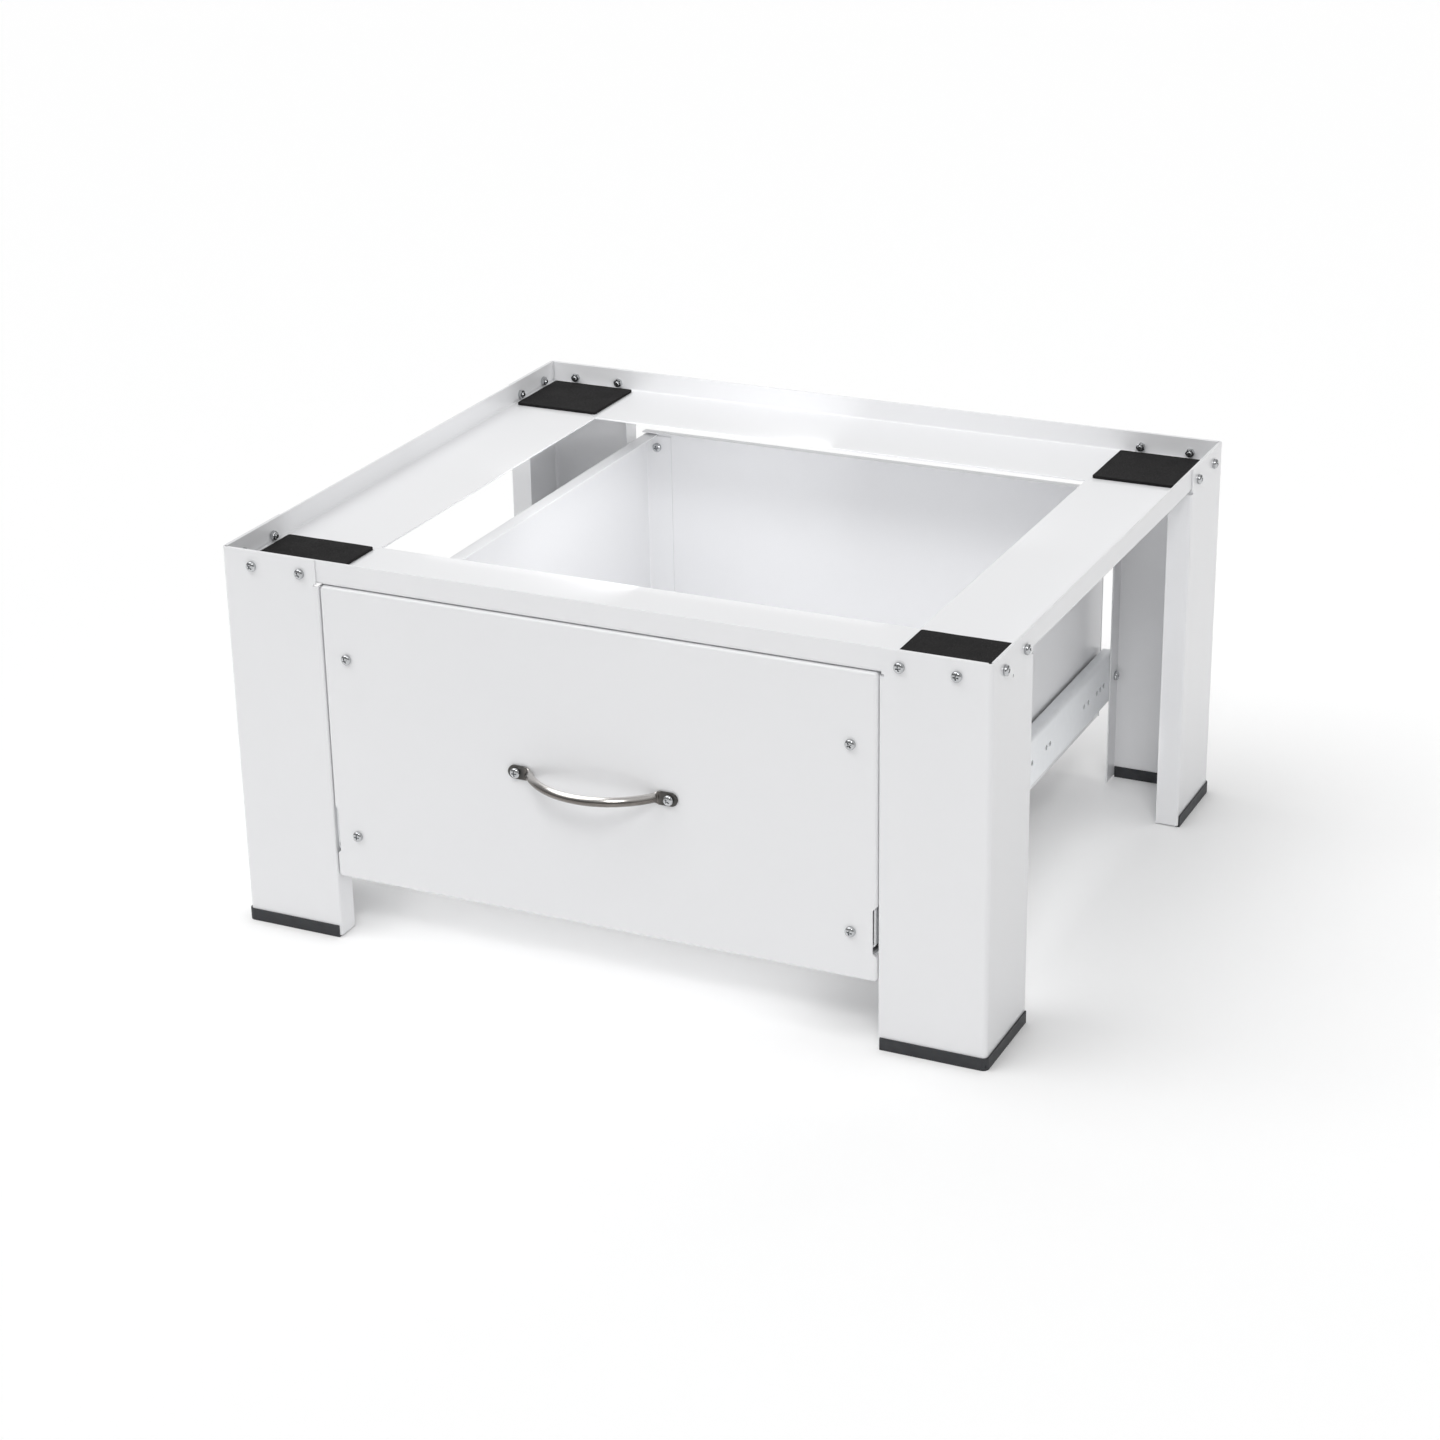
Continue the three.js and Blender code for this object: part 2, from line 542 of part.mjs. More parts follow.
// A stamped strip that keeps two rows of balls apart, one row in each race.
function ballCage(name, sideName, webDepth, lipDepth, rowZ, ballRadius) {
  const side = SIDES[sideName];
  const middle = (SLIDE_START + SLIDE_END) / 2;
  const outline = channel(side, webDepth, lipDepth, rowZ + CAGE_SHEET / 2, CAGE_SHEET, MIDDLE_BEND);
  const strip = prism('y', outline, middle - CAGE_LENGTH / 2, middle + CAGE_LENGTH / 2);
  const pitch = CAGE_LENGTH / CAGE_BALLS;
  const balls = [-rowZ, rowZ].flatMap((z) => Array.from({ length: CAGE_BALLS }, (_, i) => (
    new THREE.IcosahedronGeometry(ballRadius).translate(
      side * (SLIDE_FACE - BALL_DEPTH),
      middle + (i + 0.5 - CAGE_BALLS / 2) * pitch,
      SLIDE_Z + z,
    ))));
  return piece(`${name}_${sideName}`, join(strip, ...balls), 'zinc');
}

function slide(sideName) {
  const side = SIDES[sideName];
  const outerWeb = RACE_SHEET + WEB_GAP / 2;
  const innerWeb = MIDDLE_WEB + RACE_SHEET / 2 + WEB_GAP / 2;
  const lip = MIDDLE_LIP - LIP_STEP;
  const screws = Object.entries(ENDS).map(([endName, sy]) => fastener(
    `slide_screw_${endName}_${sideName}`,
    screwShape(LEG_SHEET + RACE_SHEET + SEAT),
    [side * (LEG_INNER_X + LEG_SHEET), sy * (HALF_Y - SLIDE_SCREW_INSET), SLIDE_Z],
    [side, 0, 0],
  ));
  return assembly(
    slideOuter(sideName),
    slideMiddle(sideName),
    slideInner(sideName),
    ballCage('ball_cage_outer', sideName, outerWeb, lip, OUTER_BALL_Z, OUTER_BALL),
    ballCage('ball_cage_inner', sideName, innerWeb, lip, INNER_BALL_Z, INNER_BALL),
    ...screws,
  );
}

// ---------------------------------------------------------------- drawer

function drawerSide(sideName) {
  const side = SIDES[sideName];
  const from = (inward) => side * (DRAWER_X - inward);
  const round = DRAWER_BEND + DRAWER_SHEET / 2;
  const deepest = Math.max(TOP_FOLD, BOTTOM_FOLD, FRONT_FLANGE, REAR_FLANGE);
  const shell = pan('x', [SIDE_FRONT, SIDE_REAR], [DRAWER_FLOOR, DRAWER_TOP], from(0), -side, deepest,
    DRAWER_SHEET, round);
  const beyond = from(deepest + 1);
  const [lengthwise, upright] = [[SIDE_FRONT - 1, SIDE_REAR + 1], [DRAWER_FLOOR - 1, DRAWER_TOP + 1]];
  const front = [SIDE_FRONT - 1, SIDE_FRONT + FLANGE_GAP];
  const rear = [SIDE_REAR - FLANGE_GAP, SIDE_REAR + 1];
  const low = [DRAWER_FLOOR - 1, DRAWER_FLOOR + FLANGE_GAP];
  const high = [DRAWER_TOP - FLANGE_GAP, DRAWER_TOP + 1];
  const shape = cut(
    shell,
    block([from(TOP_FOLD), beyond], lengthwise, high),
    block([from(BOTTOM_FOLD), beyond], lengthwise, low),
    block([from(FRONT_FLANGE), beyond], front, upright),
    block([from(REAR_FLANGE), beyond], rear, upright),
    ...[front, rear].flatMap((y) => [low, high].map((z) => block([from(round), beyond], y, z))),
    ...Object.values(FRONT_SCREW_Z).map((z) => rod('y', [z, from(FRONT_SCREW_IN)], BOLT_HOLE,
      SIDE_FRONT - 1, SIDE_FRONT + DRAWER_SHEET + 1)),
    rod('y', [BACK_SCREW_Z, from(BACK_SCREW_IN)], BOLT_HOLE, SIDE_REAR - DRAWER_SHEET - 1, SIDE_REAR + 1),
  );
  return piece(`drawer_side_${sideName}`, shape, 'whitePaint');
}

function drawerBack() {
  const half = DRAWER_SHEET / 2;
  const top = DRAWER_TOP + BACK_RISE - half;
  const section = bentStrip([
    [DRAWER_REAR - BACK_FOLD, top], [DRAWER_REAR - half, top], [DRAWER_REAR - half, DRAWER_FLOOR],
  ], DRAWER_SHEET, DRAWER_BEND);
  const through = [DRAWER_REAR - DRAWER_SHEET - 1, DRAWER_REAR + 1];
  const holes = Object.values(SIDES)
    .map((side) => rod('y', [BACK_SCREW_Z, side * (DRAWER_X - BACK_SCREW_IN)], BOLT_HOLE, ...through));
  return piece('drawer_back', cut(prism('x', section, -DRAWER_X, DRAWER_X), ...holes), 'whitePaint');
}

// The bottom sheet lies on the bottom folds of the sides, between their flanges.
function drawerBottom() {
  const under = DRAWER_FLOOR + DRAWER_SHEET + SEAT;
  const reach = DRAWER_X - DRAWER_BEND - DRAWER_SHEET;
  const shape = block(
    [-reach, reach],
    [SIDE_FRONT + DRAWER_BEND + DRAWER_SHEET, SIDE_REAR - DRAWER_BEND - DRAWER_SHEET],
    [under, under + DRAWER_SHEET],
  );
  return piece('drawer_bottom', shape, 'whitePaint');
}

function drawerFront() {
  const rear = -HALF_Y + FRONT_DEPTH;
  const shell = pan('y', [FRONT_BOTTOM, FRONT_TOP], [-FRONT_HALF, FRONT_HALF], -HALF_Y, 1, FRONT_DEPTH,
    FRONT_SHEET, FRONT_ROUND);
  const notch = OUTER_HALF + SLIDE_NOTCH;
  const flange = -HALF_Y + FRONT_ROUND;
  const sideTools = Object.values(SIDES).flatMap((side) => {
    const across = [side * (FRONT_HALF - FRONT_ROUND), side * (FRONT_HALF + 1)];
    const mitre = [
      new THREE.Vector2(flange, FRONT_BOTTOM - 1),
      new THREE.Vector2(rear + 1, FRONT_BOTTOM - 1),
      new THREE.Vector2(rear + 1, FRONT_BOTTOM + FRONT_MITRE),
      new THREE.Vector2(flange, FRONT_BOTTOM + FRONT_SHEET),
    ];
    return [
      block(across, [flange - 1, rear + 1], [SLIDE_Z - notch, SLIDE_Z + notch]),
      prism('x', mitre, ...across),
      ...Object.values(FRONT_SCREW_Z).map((z) => rod('y', [z, side * (DRAWER_X - FRONT_SCREW_IN)],
        BOLT_HOLE, -HALF_Y - 1, -HALF_Y + FRONT_SHEET + 1)),
      rod('y', [HANDLE_Z, (side * HANDLE_HOLES) / 2], BOLT_HOLE, -HALF_Y - 1, -HALF_Y + FRONT_SHEET + 1),
    ];
  });
  return piece('drawer_front', cut(shell, ...sideTools), 'whitePaint');
}

// ---------------------------------------------------------------- handle

// One upright section of the handle at a place on its middle line: an oval with flattened faces
// (a superellipse of the fourth degree). Its thickness is along the way it faces.
function handleRing({ x, outward, angle, thickness, height }) {
  const flattened = (value) => Math.sign(value) * Math.sqrt(Math.abs(value));
  return Array.from({ length: HANDLE_SIDES }, (_, i) => {
    const turn = (2 * Math.PI * (i + 0.5)) / HANDLE_SIDES;
    const out = (thickness / 2) * flattened(Math.cos(turn));
    return new THREE.Vector3(
      x + out * Math.sin(angle),
      -HALF_Y - SEAT - outward - out * Math.cos(angle),
      HANDLE_Z + (height / 2) * flattened(Math.sin(turn)),
    );
  });
}

// Flat tabs with round ends, and a bow between them that is an arc of a circle in plan. Two more arcs
// join it to the tabs, tangent to both.
function handleShape() {
  const flat = HANDLE_TAB / 2;
  const rise = HANDLE_REACH - SEAT - HANDLE_BAR / 2 - flat;
  const half = HANDLE_SPAN / 2;
  const centres = (half ** 2 + rise ** 2) / (2 * rise); // centre of the bow to the centre of a bend
  const opening = Math.asin(half / centres);
  const radius = centres - HANDLE_BEND;
  const tab = { outward: flat, angle: 0, thickness: HANDLE_TAB, height: HANDLE_TAB_HEIGHT };
  const round = HANDLE_TAB_HEIGHT / 2;
  const end = HANDLE_HOLES / 2 + HANDLE_TAB_END - round;
  const tip = HANDLE_TIP_ANGLES.map((degrees) => {
    const angle = THREE.MathUtils.degToRad(degrees);
    return { ...tab, x: end + round * Math.sin(angle), height: 2 * round * Math.cos(angle) };
  });
  const bend = Array.from({ length: BEND_STEPS + 1 }, (_, i) => {
    const share = i / BEND_STEPS;
    const angle = share * opening;
    return {
      x: half - HANDLE_BEND * Math.sin(angle),
      outward: flat + HANDLE_BEND * (1 - Math.cos(angle)),
      angle,
      // The bar swells late in the bend, so that its back stays clear of the front panel.
      thickness: THREE.MathUtils.lerp(HANDLE_TAB, HANDLE_BAR, share ** 3),
      height: THREE.MathUtils.lerp(HANDLE_TAB_HEIGHT, HANDLE_BAR_HEIGHT, share),
    };
  });
  const bow = Array.from({ length: HANDLE_STEPS - 1 }, (_, i) => {
    const angle = opening * (1 - (2 * (i + 1)) / HANDLE_STEPS);
    return {
      x: radius * Math.sin(angle),
      outward: flat + rise - radius * (1 - Math.cos(angle)),
      angle,
      thickness: HANDLE_BAR,
      height: HANDLE_BAR_HEIGHT,
    };
  });
  const right = [...tip, ...bend];
  const left = right.map((station) => ({ ...station, x: -station.x, angle: -station.angle })).reverse();
  return loft([...right, ...bow, ...left].reverse().map(handleRing));
}

function handle() {
  const holes = Object.values(SIDES).map((side) => rod('y', [HANDLE_Z, (side * HANDLE_HOLES) / 2],
    BOLT_HOLE, -HALF_Y - HANDLE_TAB - 1, -HALF_Y));
  const screws = Object.entries(SIDES).map(([sideName, side]) => fastener(
    `handle_screw_${sideName}`,
    screwShape(SEAT + HANDLE_TAB + FRONT_SHEET + SCREW_TIP),
    [(side * HANDLE_HOLES) / 2, -HALF_Y - SEAT - HANDLE_TAB, HANDLE_Z],
    [0, -1, 0],
  ));
  return assembly(piece('handle', cut(handleShape(), ...holes), 'brushedSteel'), ...screws);
}

function drawerScrews() {
  const front = Object.entries(SIDES).flatMap(([sideName, side]) => (
    Object.entries(FRONT_SCREW_Z).map(([levelName, z]) => fastener(
      `front_screw_${levelName}_${sideName}`,
      screwShape(FRONT_SHEET + DRAWER_SHEET + SCREW_TIP),
      [side * (DRAWER_X - FRONT_SCREW_IN), -HALF_Y, z],
      [0, -1, 0],
    ))));
  const back = Object.entries(SIDES).map(([sideName, side]) => fastener(
    `back_screw_${sideName}`,
    screwShape(2 * DRAWER_SHEET + SCREW_TIP),
    [side * (DRAWER_X - BACK_SCREW_IN), SIDE_REAR - DRAWER_SHEET, BACK_SCREW_Z],
    [0, -1, 0],
  ));
  return [...front, ...back];
}

// ---------------------------------------------------------------- the whole pedestal

const corners = Object.keys(ENDS)
  .flatMap((endName) => Object.keys(SIDES).map((sideName) => [endName, sideName]));
const pedestal = assembly(
  assembly(
    ...corners.flatMap((corner) => [leg(...corner), foot(...corner), pad(...corner)]),
    ...[...Object.keys(ENDS), ...Object.keys(SIDES)].map(rail),
    ...legBolts(),
  ),
  ...Object.keys(SIDES).map(slide),
  assembly(
    drawerFront(),
    ...Object.keys(SIDES).map(drawerSide),
    drawerBack(),
    drawerBottom(),
    handle(),
    ...drawerScrews(),
  ),
);

// The origin is on the floor, under the middle of everything, from the handle's bow to the rear bolt heads.
pedestal.position.y = (HANDLE_REACH - HEAD_HEIGHT - SEAT) / 2;

const part = new THREE.Group();
part.add(pedestal);

export default part;
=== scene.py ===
"""Dresses the washing machine pedestal: folded sheet steel, drawer, slides, pads, handle and fasteners.

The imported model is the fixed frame. Every size here is in millimetres until it goes into a mesh, and every
place comes from the boxes of the frame's own nodes.
"""
import logging
import math
from dataclasses import dataclass, field
from enum import Enum
from typing import Callable, Iterable, Sequence

import bmesh
import bpy
import numpy as np
from mathutils import Matrix, Vector


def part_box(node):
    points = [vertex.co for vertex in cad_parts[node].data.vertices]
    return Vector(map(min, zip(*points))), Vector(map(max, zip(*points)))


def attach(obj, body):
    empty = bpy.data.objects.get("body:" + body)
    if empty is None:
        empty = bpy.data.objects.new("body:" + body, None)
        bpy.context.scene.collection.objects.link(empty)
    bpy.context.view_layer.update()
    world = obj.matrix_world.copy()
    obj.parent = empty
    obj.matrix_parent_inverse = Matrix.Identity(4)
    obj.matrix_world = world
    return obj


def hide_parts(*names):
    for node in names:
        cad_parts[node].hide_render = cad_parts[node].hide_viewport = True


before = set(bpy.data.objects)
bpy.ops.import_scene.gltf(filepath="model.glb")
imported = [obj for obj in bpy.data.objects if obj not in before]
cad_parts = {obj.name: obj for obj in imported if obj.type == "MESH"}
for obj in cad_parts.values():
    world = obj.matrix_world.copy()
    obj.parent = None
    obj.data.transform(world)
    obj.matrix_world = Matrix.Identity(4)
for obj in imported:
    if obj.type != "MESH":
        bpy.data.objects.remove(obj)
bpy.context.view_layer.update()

LOG = logging.getLogger("pedestal")
Array = np.ndarray
Pair = tuple[float, float]
Triple = tuple[float, float, float]
Socket = bpy.types.NodeSocket
MM = 0.001
SIDES: dict[str, int] = {"left": -1, "right": 1}
ENDS: dict[str, int] = {"front": -1, "rear": 1}
EDGE = 0.3
SPREAD: Pair = (0.3, 0.7)


# ---------------------------------------------------------------- surfaces


@dataclass
class Shell:
    """A closed surface in millimetres.

    Args:
        points: The vertices, one row each.
        faces: The faces, each a list of vertex numbers.
    """

    points: Array
    faces: list[list[int]]

    @staticmethod
    def joined(shells: Iterable["Shell"]) -> "Shell":
        """Several separate surfaces as one shell."""
        points: list[Array] = []
        faces: list[list[int]] = []
        count = 0
        for shell in shells:
            points.append(shell.points)
            faces.extend([[number + count for number in face] for face in shell.faces])
            count += len(shell.points)
        return Shell(np.vstack(points), faces)

    def placed(self, origin: Sequence[float], towards: Sequence[float] = (0, 0, 1)) -> "Shell":
        """The shell with its own origin at a point and its own z axis along a direction."""
        turn = np.array(Vector((0, 0, 1)).rotation_difference(Vector(towards)).to_matrix())
        return Shell(self.points @ turn.T + np.array(origin, float), self.faces)

    def spun(self, degrees: float) -> "Shell":
        """The shell turned about its own z axis."""
        turn = Matrix.Rotation(math.radians(degrees), 3, "Z")
        return Shell(self.points @ np.array(turn).T, self.faces)


def lattice(rings: Array, closed: bool = False) -> Shell:
    """A skin of quads over a stack of rings, ring i joined to ring i + 1 point by point.

    Args:
        rings: Points as (ring, point in the ring, 3).
        closed: Whether the last ring joins the first. An open stack gets a flat face at each end.

    Returns:
        The closed surface.
    """
    rows, columns = rings.shape[:2]
    row = np.arange(rows if closed else rows - 1)[:, None]
    column = np.arange(columns)[None, :]
    after, above = (column + 1) % columns, (row + 1) % rows
    low, high = row * columns, above * columns
    corners = [low + column, low + after, high + after, high + column]
    faces = np.stack(corners, axis=-1).reshape(-1, 4).tolist()
    if not closed:
        faces.append(list(range(columns))[::-1])
        faces.append(list(range((rows - 1) * columns, rows * columns)))
    return Shell(rings.reshape(-1, 3), faces)


def circle(sides: int) -> Array:
    """Points round the unit circle, as (point, 2)."""
    turn = np.linspace(0, 2 * math.pi, sides, endpoint=False)
    return np.stack([np.cos(turn), np.sin(turn)], axis=-1)


def rounding(radius: float, steps: int = 3) -> tuple[Array, Array]:
    """A quarter circle up a rounded edge.

    Returns:
        How far each point is drawn in, radius times 1 - sine, and how high it is, radius times 1 - cosine.
    """
    angle = np.linspace(0, math.pi / 2, steps + 1)
    return radius * (1 - np.sin(angle)), radius * (1 - np.cos(angle))


def raised(plan: Array, height: Array) -> Array:
    """Points in plan, as (..., 2), with their heights as a third coordinate."""
    return np.concatenate([plan, np.broadcast_to(height, plan.shape[:-1])[..., None]], axis=-1)


def turned(profile: Sequence[Pair], sides: int) -> Array:
    """Rings about the z axis, one for each (radius, height)."""
    outline = np.array(profile, float)
    return raised(outline[:, None, :1] * circle(sides), outline[:, 1:])


class Axis(Enum):
    """The direction that a section is carried along, and the two axes of the section's own plane."""

    X = (0, 1, 2)
    Y = (1, 2, 0)
    Z = (2, 0, 1)

    def points(self, along: float | Array, section: Array) -> Array:
        """Points at a distance along the axis, from their two coordinates in the section's plane."""
        result = np.empty((*section.shape[:-1], 3))
        first, second, third = self.value
        result[..., first] = along
        result[..., second] = section[..., 0]
        result[..., third] = section[..., 1]
        return result


@dataclass(frozen=True)
class BentSheet:
    """A bent strip of sheet metal, carried along an axis.

    The middle line runs through the corners, each rounded by an arc, and the two faces lie half the
    thickness to either side. Every cut edge of the sheet is rounded too.

    Args:
        corners: Corners of the middle line as (u, v, middle radius).
        thickness: Thickness of the sheet.
        edge: Radius of the cut edges.
        steps: Steps in each bend.
    """

    corners: Sequence[Triple]
    thickness: float
    edge: float = EDGE
    steps: int = 8

    def middle(self) -> tuple[Array, Array]:
        """Points on the middle line and the directions in which it runs there.

        Returns:
            Two arrays of (point, 2). A bend's points turn its first spoke about its centre.
        """
        corner = np.array(self.corners, float)
        place, radius = corner[:, :2], corner[:, 2]
        run = np.diff(place, axis=0)
        run /= np.linalg.norm(run, axis=1)[:, None]
        points, directions = [place[:1]], [run[:1]]
        for i in range(1, len(place) - 1):
            arriving, leaving = run[i - 1], run[i]
            turn = math.atan2(arriving[0] * leaving[1] - arriving[1] * leaving[0], arriving @ leaving)
            spoke = math.copysign(radius[i], turn) * np.array([arriving[1], -arriving[0]])
            centre = place[i] - arriving * radius[i] * math.tan(abs(turn) / 2) - spoke
            angle = np.linspace(0, turn, self.steps + 1)
            cos, sin = np.cos(angle)[:, None], np.sin(angle)[:, None]
            points.append(centre + spoke * cos + np.array([-spoke[1], spoke[0]]) * sin)
            directions.append(arriving * cos + np.array([-arriving[1], arriving[0]]) * sin)
        return np.vstack([*points, place[-1:]]), np.vstack([*directions, run[-1:]])

    def outline(self, inset: float) -> Array:
        """The strip's outline, drawn in by an inset all round, with rounded free edges."""
        points, directions = self.middle()
        normals = np.stack([-directions[:, 1], directions[:, 0]], axis=1)
        half = self.thickness / 2 - inset
        back, fall = rounding(self.edge - inset + 0.02)
        side = (half - fall)[:, None]
        start = points[0] + directions[0] * (inset + back[:, None])
        end = points[-1] - directions[-1] * (inset + back[:, None])
        left = points[1:-1] + normals[1:-1] * half
        right = points[1:-1] - normals[1:-1] * half
        return np.vstack([start[::-1] + normals[0] * side[::-1], left, end + normals[-1] * side,
                          end[::-1] - normals[-1] * side[::-1], right[::-1], start - normals[0] * side])

    def along(self, axis: Axis, start: float, end: float,
              cut: Callable[[Array], Array] | None = None) -> Shell:
        """The strip carried along an axis.

        Args:
            axis: The axis.
            start: Where it begins.
            end: Where it ends.
            cut: Gives the most that |along| may be at each point of the outline, for a mitre at both ends.

        Returns:
            The closed sheet. Its rings draw in over the last tenths of a millimetre to round its ends.
        """
        inset, short = rounding(self.edge)
        rings = []
        for sign, limit in ((1, start), (-1, end)):
            for drawn_in, from_end in list(zip(inset, short))[::sign]:
                section = self.outline(drawn_in)
                place = limit if cut is None else -sign * np.minimum(cut(section), abs(limit))
                rings.append(axis.points(place + sign * from_end, section))
        return lattice(np.array(rings))


def rounded_rectangle(u: Pair, v: Pair, corner: float, inset: float, per_side: int = 1,
                      steps: int = 5) -> Array:
    """Points round a rectangle with rounded corners, drawn in by an inset.

    Args:
        u: Lowest and highest first coordinate.
        v: Lowest and highest second coordinate.
        corner: Corner radius before the inset.
        inset: How far it is drawn in.
        per_side: Stretches on each straight side.
        steps: Steps in each corner.

    Returns:
        Points as (point, 2), anticlockwise. A corner's points are its centre plus the radius left.
    """
    left = max(corner - inset, 0.05)
    to_centre = corner + (inset - corner + left if inset > corner else 0)
    low_u, high_u, low_v, high_v = u[0] + to_centre, u[1] - to_centre, v[0] + to_centre, v[1] - to_centre
    centres = np.array([(high_u, high_v), (low_u, high_v), (low_u, low_v), (high_u, low_v)])
    angle = np.arange(4)[:, None] * math.pi / 2 + np.linspace(0, math.pi / 2, steps + 1)
    arcs = centres[:, None, :] + left * np.stack([np.cos(angle), np.sin(angle)], axis=-1)
    share = (np.arange(1, per_side) / per_side)[None, :, None]
    straight = arcs[:, -1:, :] * (1 - share) + np.roll(arcs, -1, axis=0)[:, :1, :] * share
    return np.concatenate([arcs, straight], axis=1).reshape(-1, 2)


def stacked(axis: Axis, u: Pair, v: Pair, corner: float, profile: Iterable[Pair], per_side: int = 1) -> Shell:
    """A stack of rounded rectangles: each has its own inset and its own place along an axis."""
    return lattice(np.array([axis.points(along, rounded_rectangle(u, v, corner, inset, per_side))
                             for inset, along in profile]))


def folded_pan(axis: Axis, u: Pair, v: Pair, face: float, inward: int, depth: float, sheet: float,
               bend: float, edge: float = EDGE) -> Shell:
    """A sheet whose four edges are turned the same way.

    Args:
        axis: The axis that its face looks along.
        u: Its extent along the next axis.
        v: Its extent along the axis after that.
        face: Where its outer face lies.
        inward: 1 or -1, the way that the edges turn.
        depth: Depth of the turned edges.
        sheet: Thickness.
        bend: Outer radius of its bends.
        edge: Radius of the cut edges.

    Returns:
        The closed pan. Its profile goes from the outer face round the bend to the rim and back inside.
    """
    drawn, fall = rounding(edge)
    inner_drawn, inner_fall = rounding(bend - sheet, 8)
    profile = [*zip(*rounding(bend, 8)), *zip(fall, depth - drawn), *zip(sheet - drawn, depth - fall),
               *zip(sheet + inner_fall, sheet + inner_drawn)]
    return stacked(axis, u, v, bend + 0.6, [(inset, face + inward * deep) for inset, deep in profile])


def prism(axis: Axis, section: Array, ends: Sequence[float]) -> Shell:
    """A section carried straight from one place on an axis to another."""
    return lattice(np.array([axis.points(end, section) for end in sorted(ends)]))


def rod(axis: Axis, centre: Pair, radius: float, ends: Sequence[float], sides: int = 40) -> Shell:
    """A plain rod along an axis, a tool for cutting holes."""
    return prism(axis, np.array(centre) + radius * circle(sides), ends)


def block(x: Sequence[float], y: Sequence[float], z: Sequence[float]) -> Shell:
    """A plain block between two places on each axis, a tool for cutting."""
    (x0, x1), (y0, y1) = sorted(x), sorted(y)
    return prism(Axis.Z, np.array([(x0, y0), (x1, y0), (x1, y1), (x0, y1)], float), z)


# ---------------------------------------------------------------- finishes


class Nodes:
    """A short way to build one material's node tree."""

    def __init__(self, name: str) -> None:
        """Starts a material with a Principled shader and object coordinates."""
        self.material = bpy.data.materials.new(name)
        self.material.use_nodes = True
        self.tree = self.material.node_tree
        self.shader = self.tree.nodes["Principled BSDF"]
        self.coordinates = self.add("ShaderNodeTexCoord").outputs
        self.place = self.coordinates["Object"]

    def add(self, kind: str, **inputs: object) -> bpy.types.Node:
        """Adds a node and sets or links its inputs, named with spaces as underscores."""
        node = self.tree.nodes.new(kind)
        for name, value in inputs.items():
            self.give(node.inputs[name.replace("_", " ")], value)
        return node

    def give(self, socket: Socket, value: object) -> None:
        """Links an output to a socket, or sets a constant on it."""
        if isinstance(value, Socket):
            self.tree.links.new(value, socket)
        else:
            socket.default_value = value

    def stretched(self, scale: Triple) -> Socket:
        """Object coordinates, scaled along each axis."""
        return self.add("ShaderNodeMapping", Vector=self.place, Scale=scale).outputs["Vector"]

    def noise(self, scale: float, detail: float = 2.0, place: Socket | None = None,
              rough: float = 0.5) -> Socket:
        """A noise texture's value."""
        return self.add("ShaderNodeTexNoise", Vector=place or self.place, Scale=scale, Detail=detail,
                        Roughness=rough).outputs["Fac"]

    def between(self, value: Socket, low: float, high: float, span: Pair = SPREAD) -> Socket:
        """Maps a span of values to a range."""
        return self.add("ShaderNodeMapRange", Value=value, From_Min=span[0], From_Max=span[1], To_Min=low,
                        To_Max=high).outputs["Result"]

    def part(self, vector: Socket, axis: str) -> Socket:
        """One coordinate of a vector."""
        return self.add("ShaderNodeSeparateXYZ", Vector=vector).outputs[axis]

    def ramp(self, value: Socket, first: Triple, second: Triple) -> Socket:
        """A colour that goes from one to another over the spread of a noise."""
        node = self.add("ShaderNodeValToRGB", Fac=value)
        for element, position, colour in zip(node.color_ramp.elements, SPREAD, (first, second)):
            element.position = position
            element.color = (*colour, 1)
        return node.outputs["Color"]

    def mixed(self, share: Socket, first: Socket, second: Socket | tuple[float, ...]) -> Socket:
        """A mix of two colours."""
        node = self.tree.nodes.new("ShaderNodeMix")
        node.data_type = "RGBA"
        colours = [socket for socket in node.inputs if socket.type == "RGBA"]
        self.give(node.inputs["Factor"], share)
        for socket, colour in zip(colours, (first, second)):
            self.give(socket, colour)
        return next(socket for socket in node.outputs if socket.type == "RGBA")

    def bump(self, *layers: tuple[Socket, float]) -> None:
        """Puts layers of bump on the shader, each a height and its depth in millimetres."""
        normal = None
        for height, depth in layers:
            node = self.add("ShaderNodeBump", Height=height, Strength=1.0, Distance=depth * MM)
            if normal is not None:
                self.give(node.inputs["Normal"], normal)
            normal = node.outputs["Normal"]
        self.give(self.shader.inputs["Normal"], normal)

    def set(self, **inputs: object) -> None:
        """Sets or links inputs of the shader."""
        for name, value in inputs.items():
            self.give(self.shader.inputs[name.replace("_", " ")], value)


@dataclass(frozen=True)
class PowderCoat:
    """Satin white powder coat on sheet steel: a faint orange peel and an even sheen.

    Args:
        colour: Its colour.
        shade: The colour that it drifts to.
        roughness: Its mean roughness.
    """

    colour: Triple = (0.85, 0.853, 0.865)
    shade: Triple = (0.835, 0.839, 0.853)
    roughness: float = 0.32

    def build(self) -> bpy.types.Material:
        """Makes the material."""
        nodes = Nodes("white_powder_coat")
        peel = nodes.noise(520.0)
        nodes.set(Base_Color=nodes.ramp(nodes.noise(4.0), self.shade, self.colour),
                  Roughness=nodes.between(peel, self.roughness - 0.03, self.roughness + 0.03),
                  Coat_Weight=0.5, Coat_Roughness=0.08, Specular_IOR_Level=0.5)
        nodes.bump((peel, 0.0025), (nodes.noise(1900.0, 1.0), 0.0005))
        return nodes.material


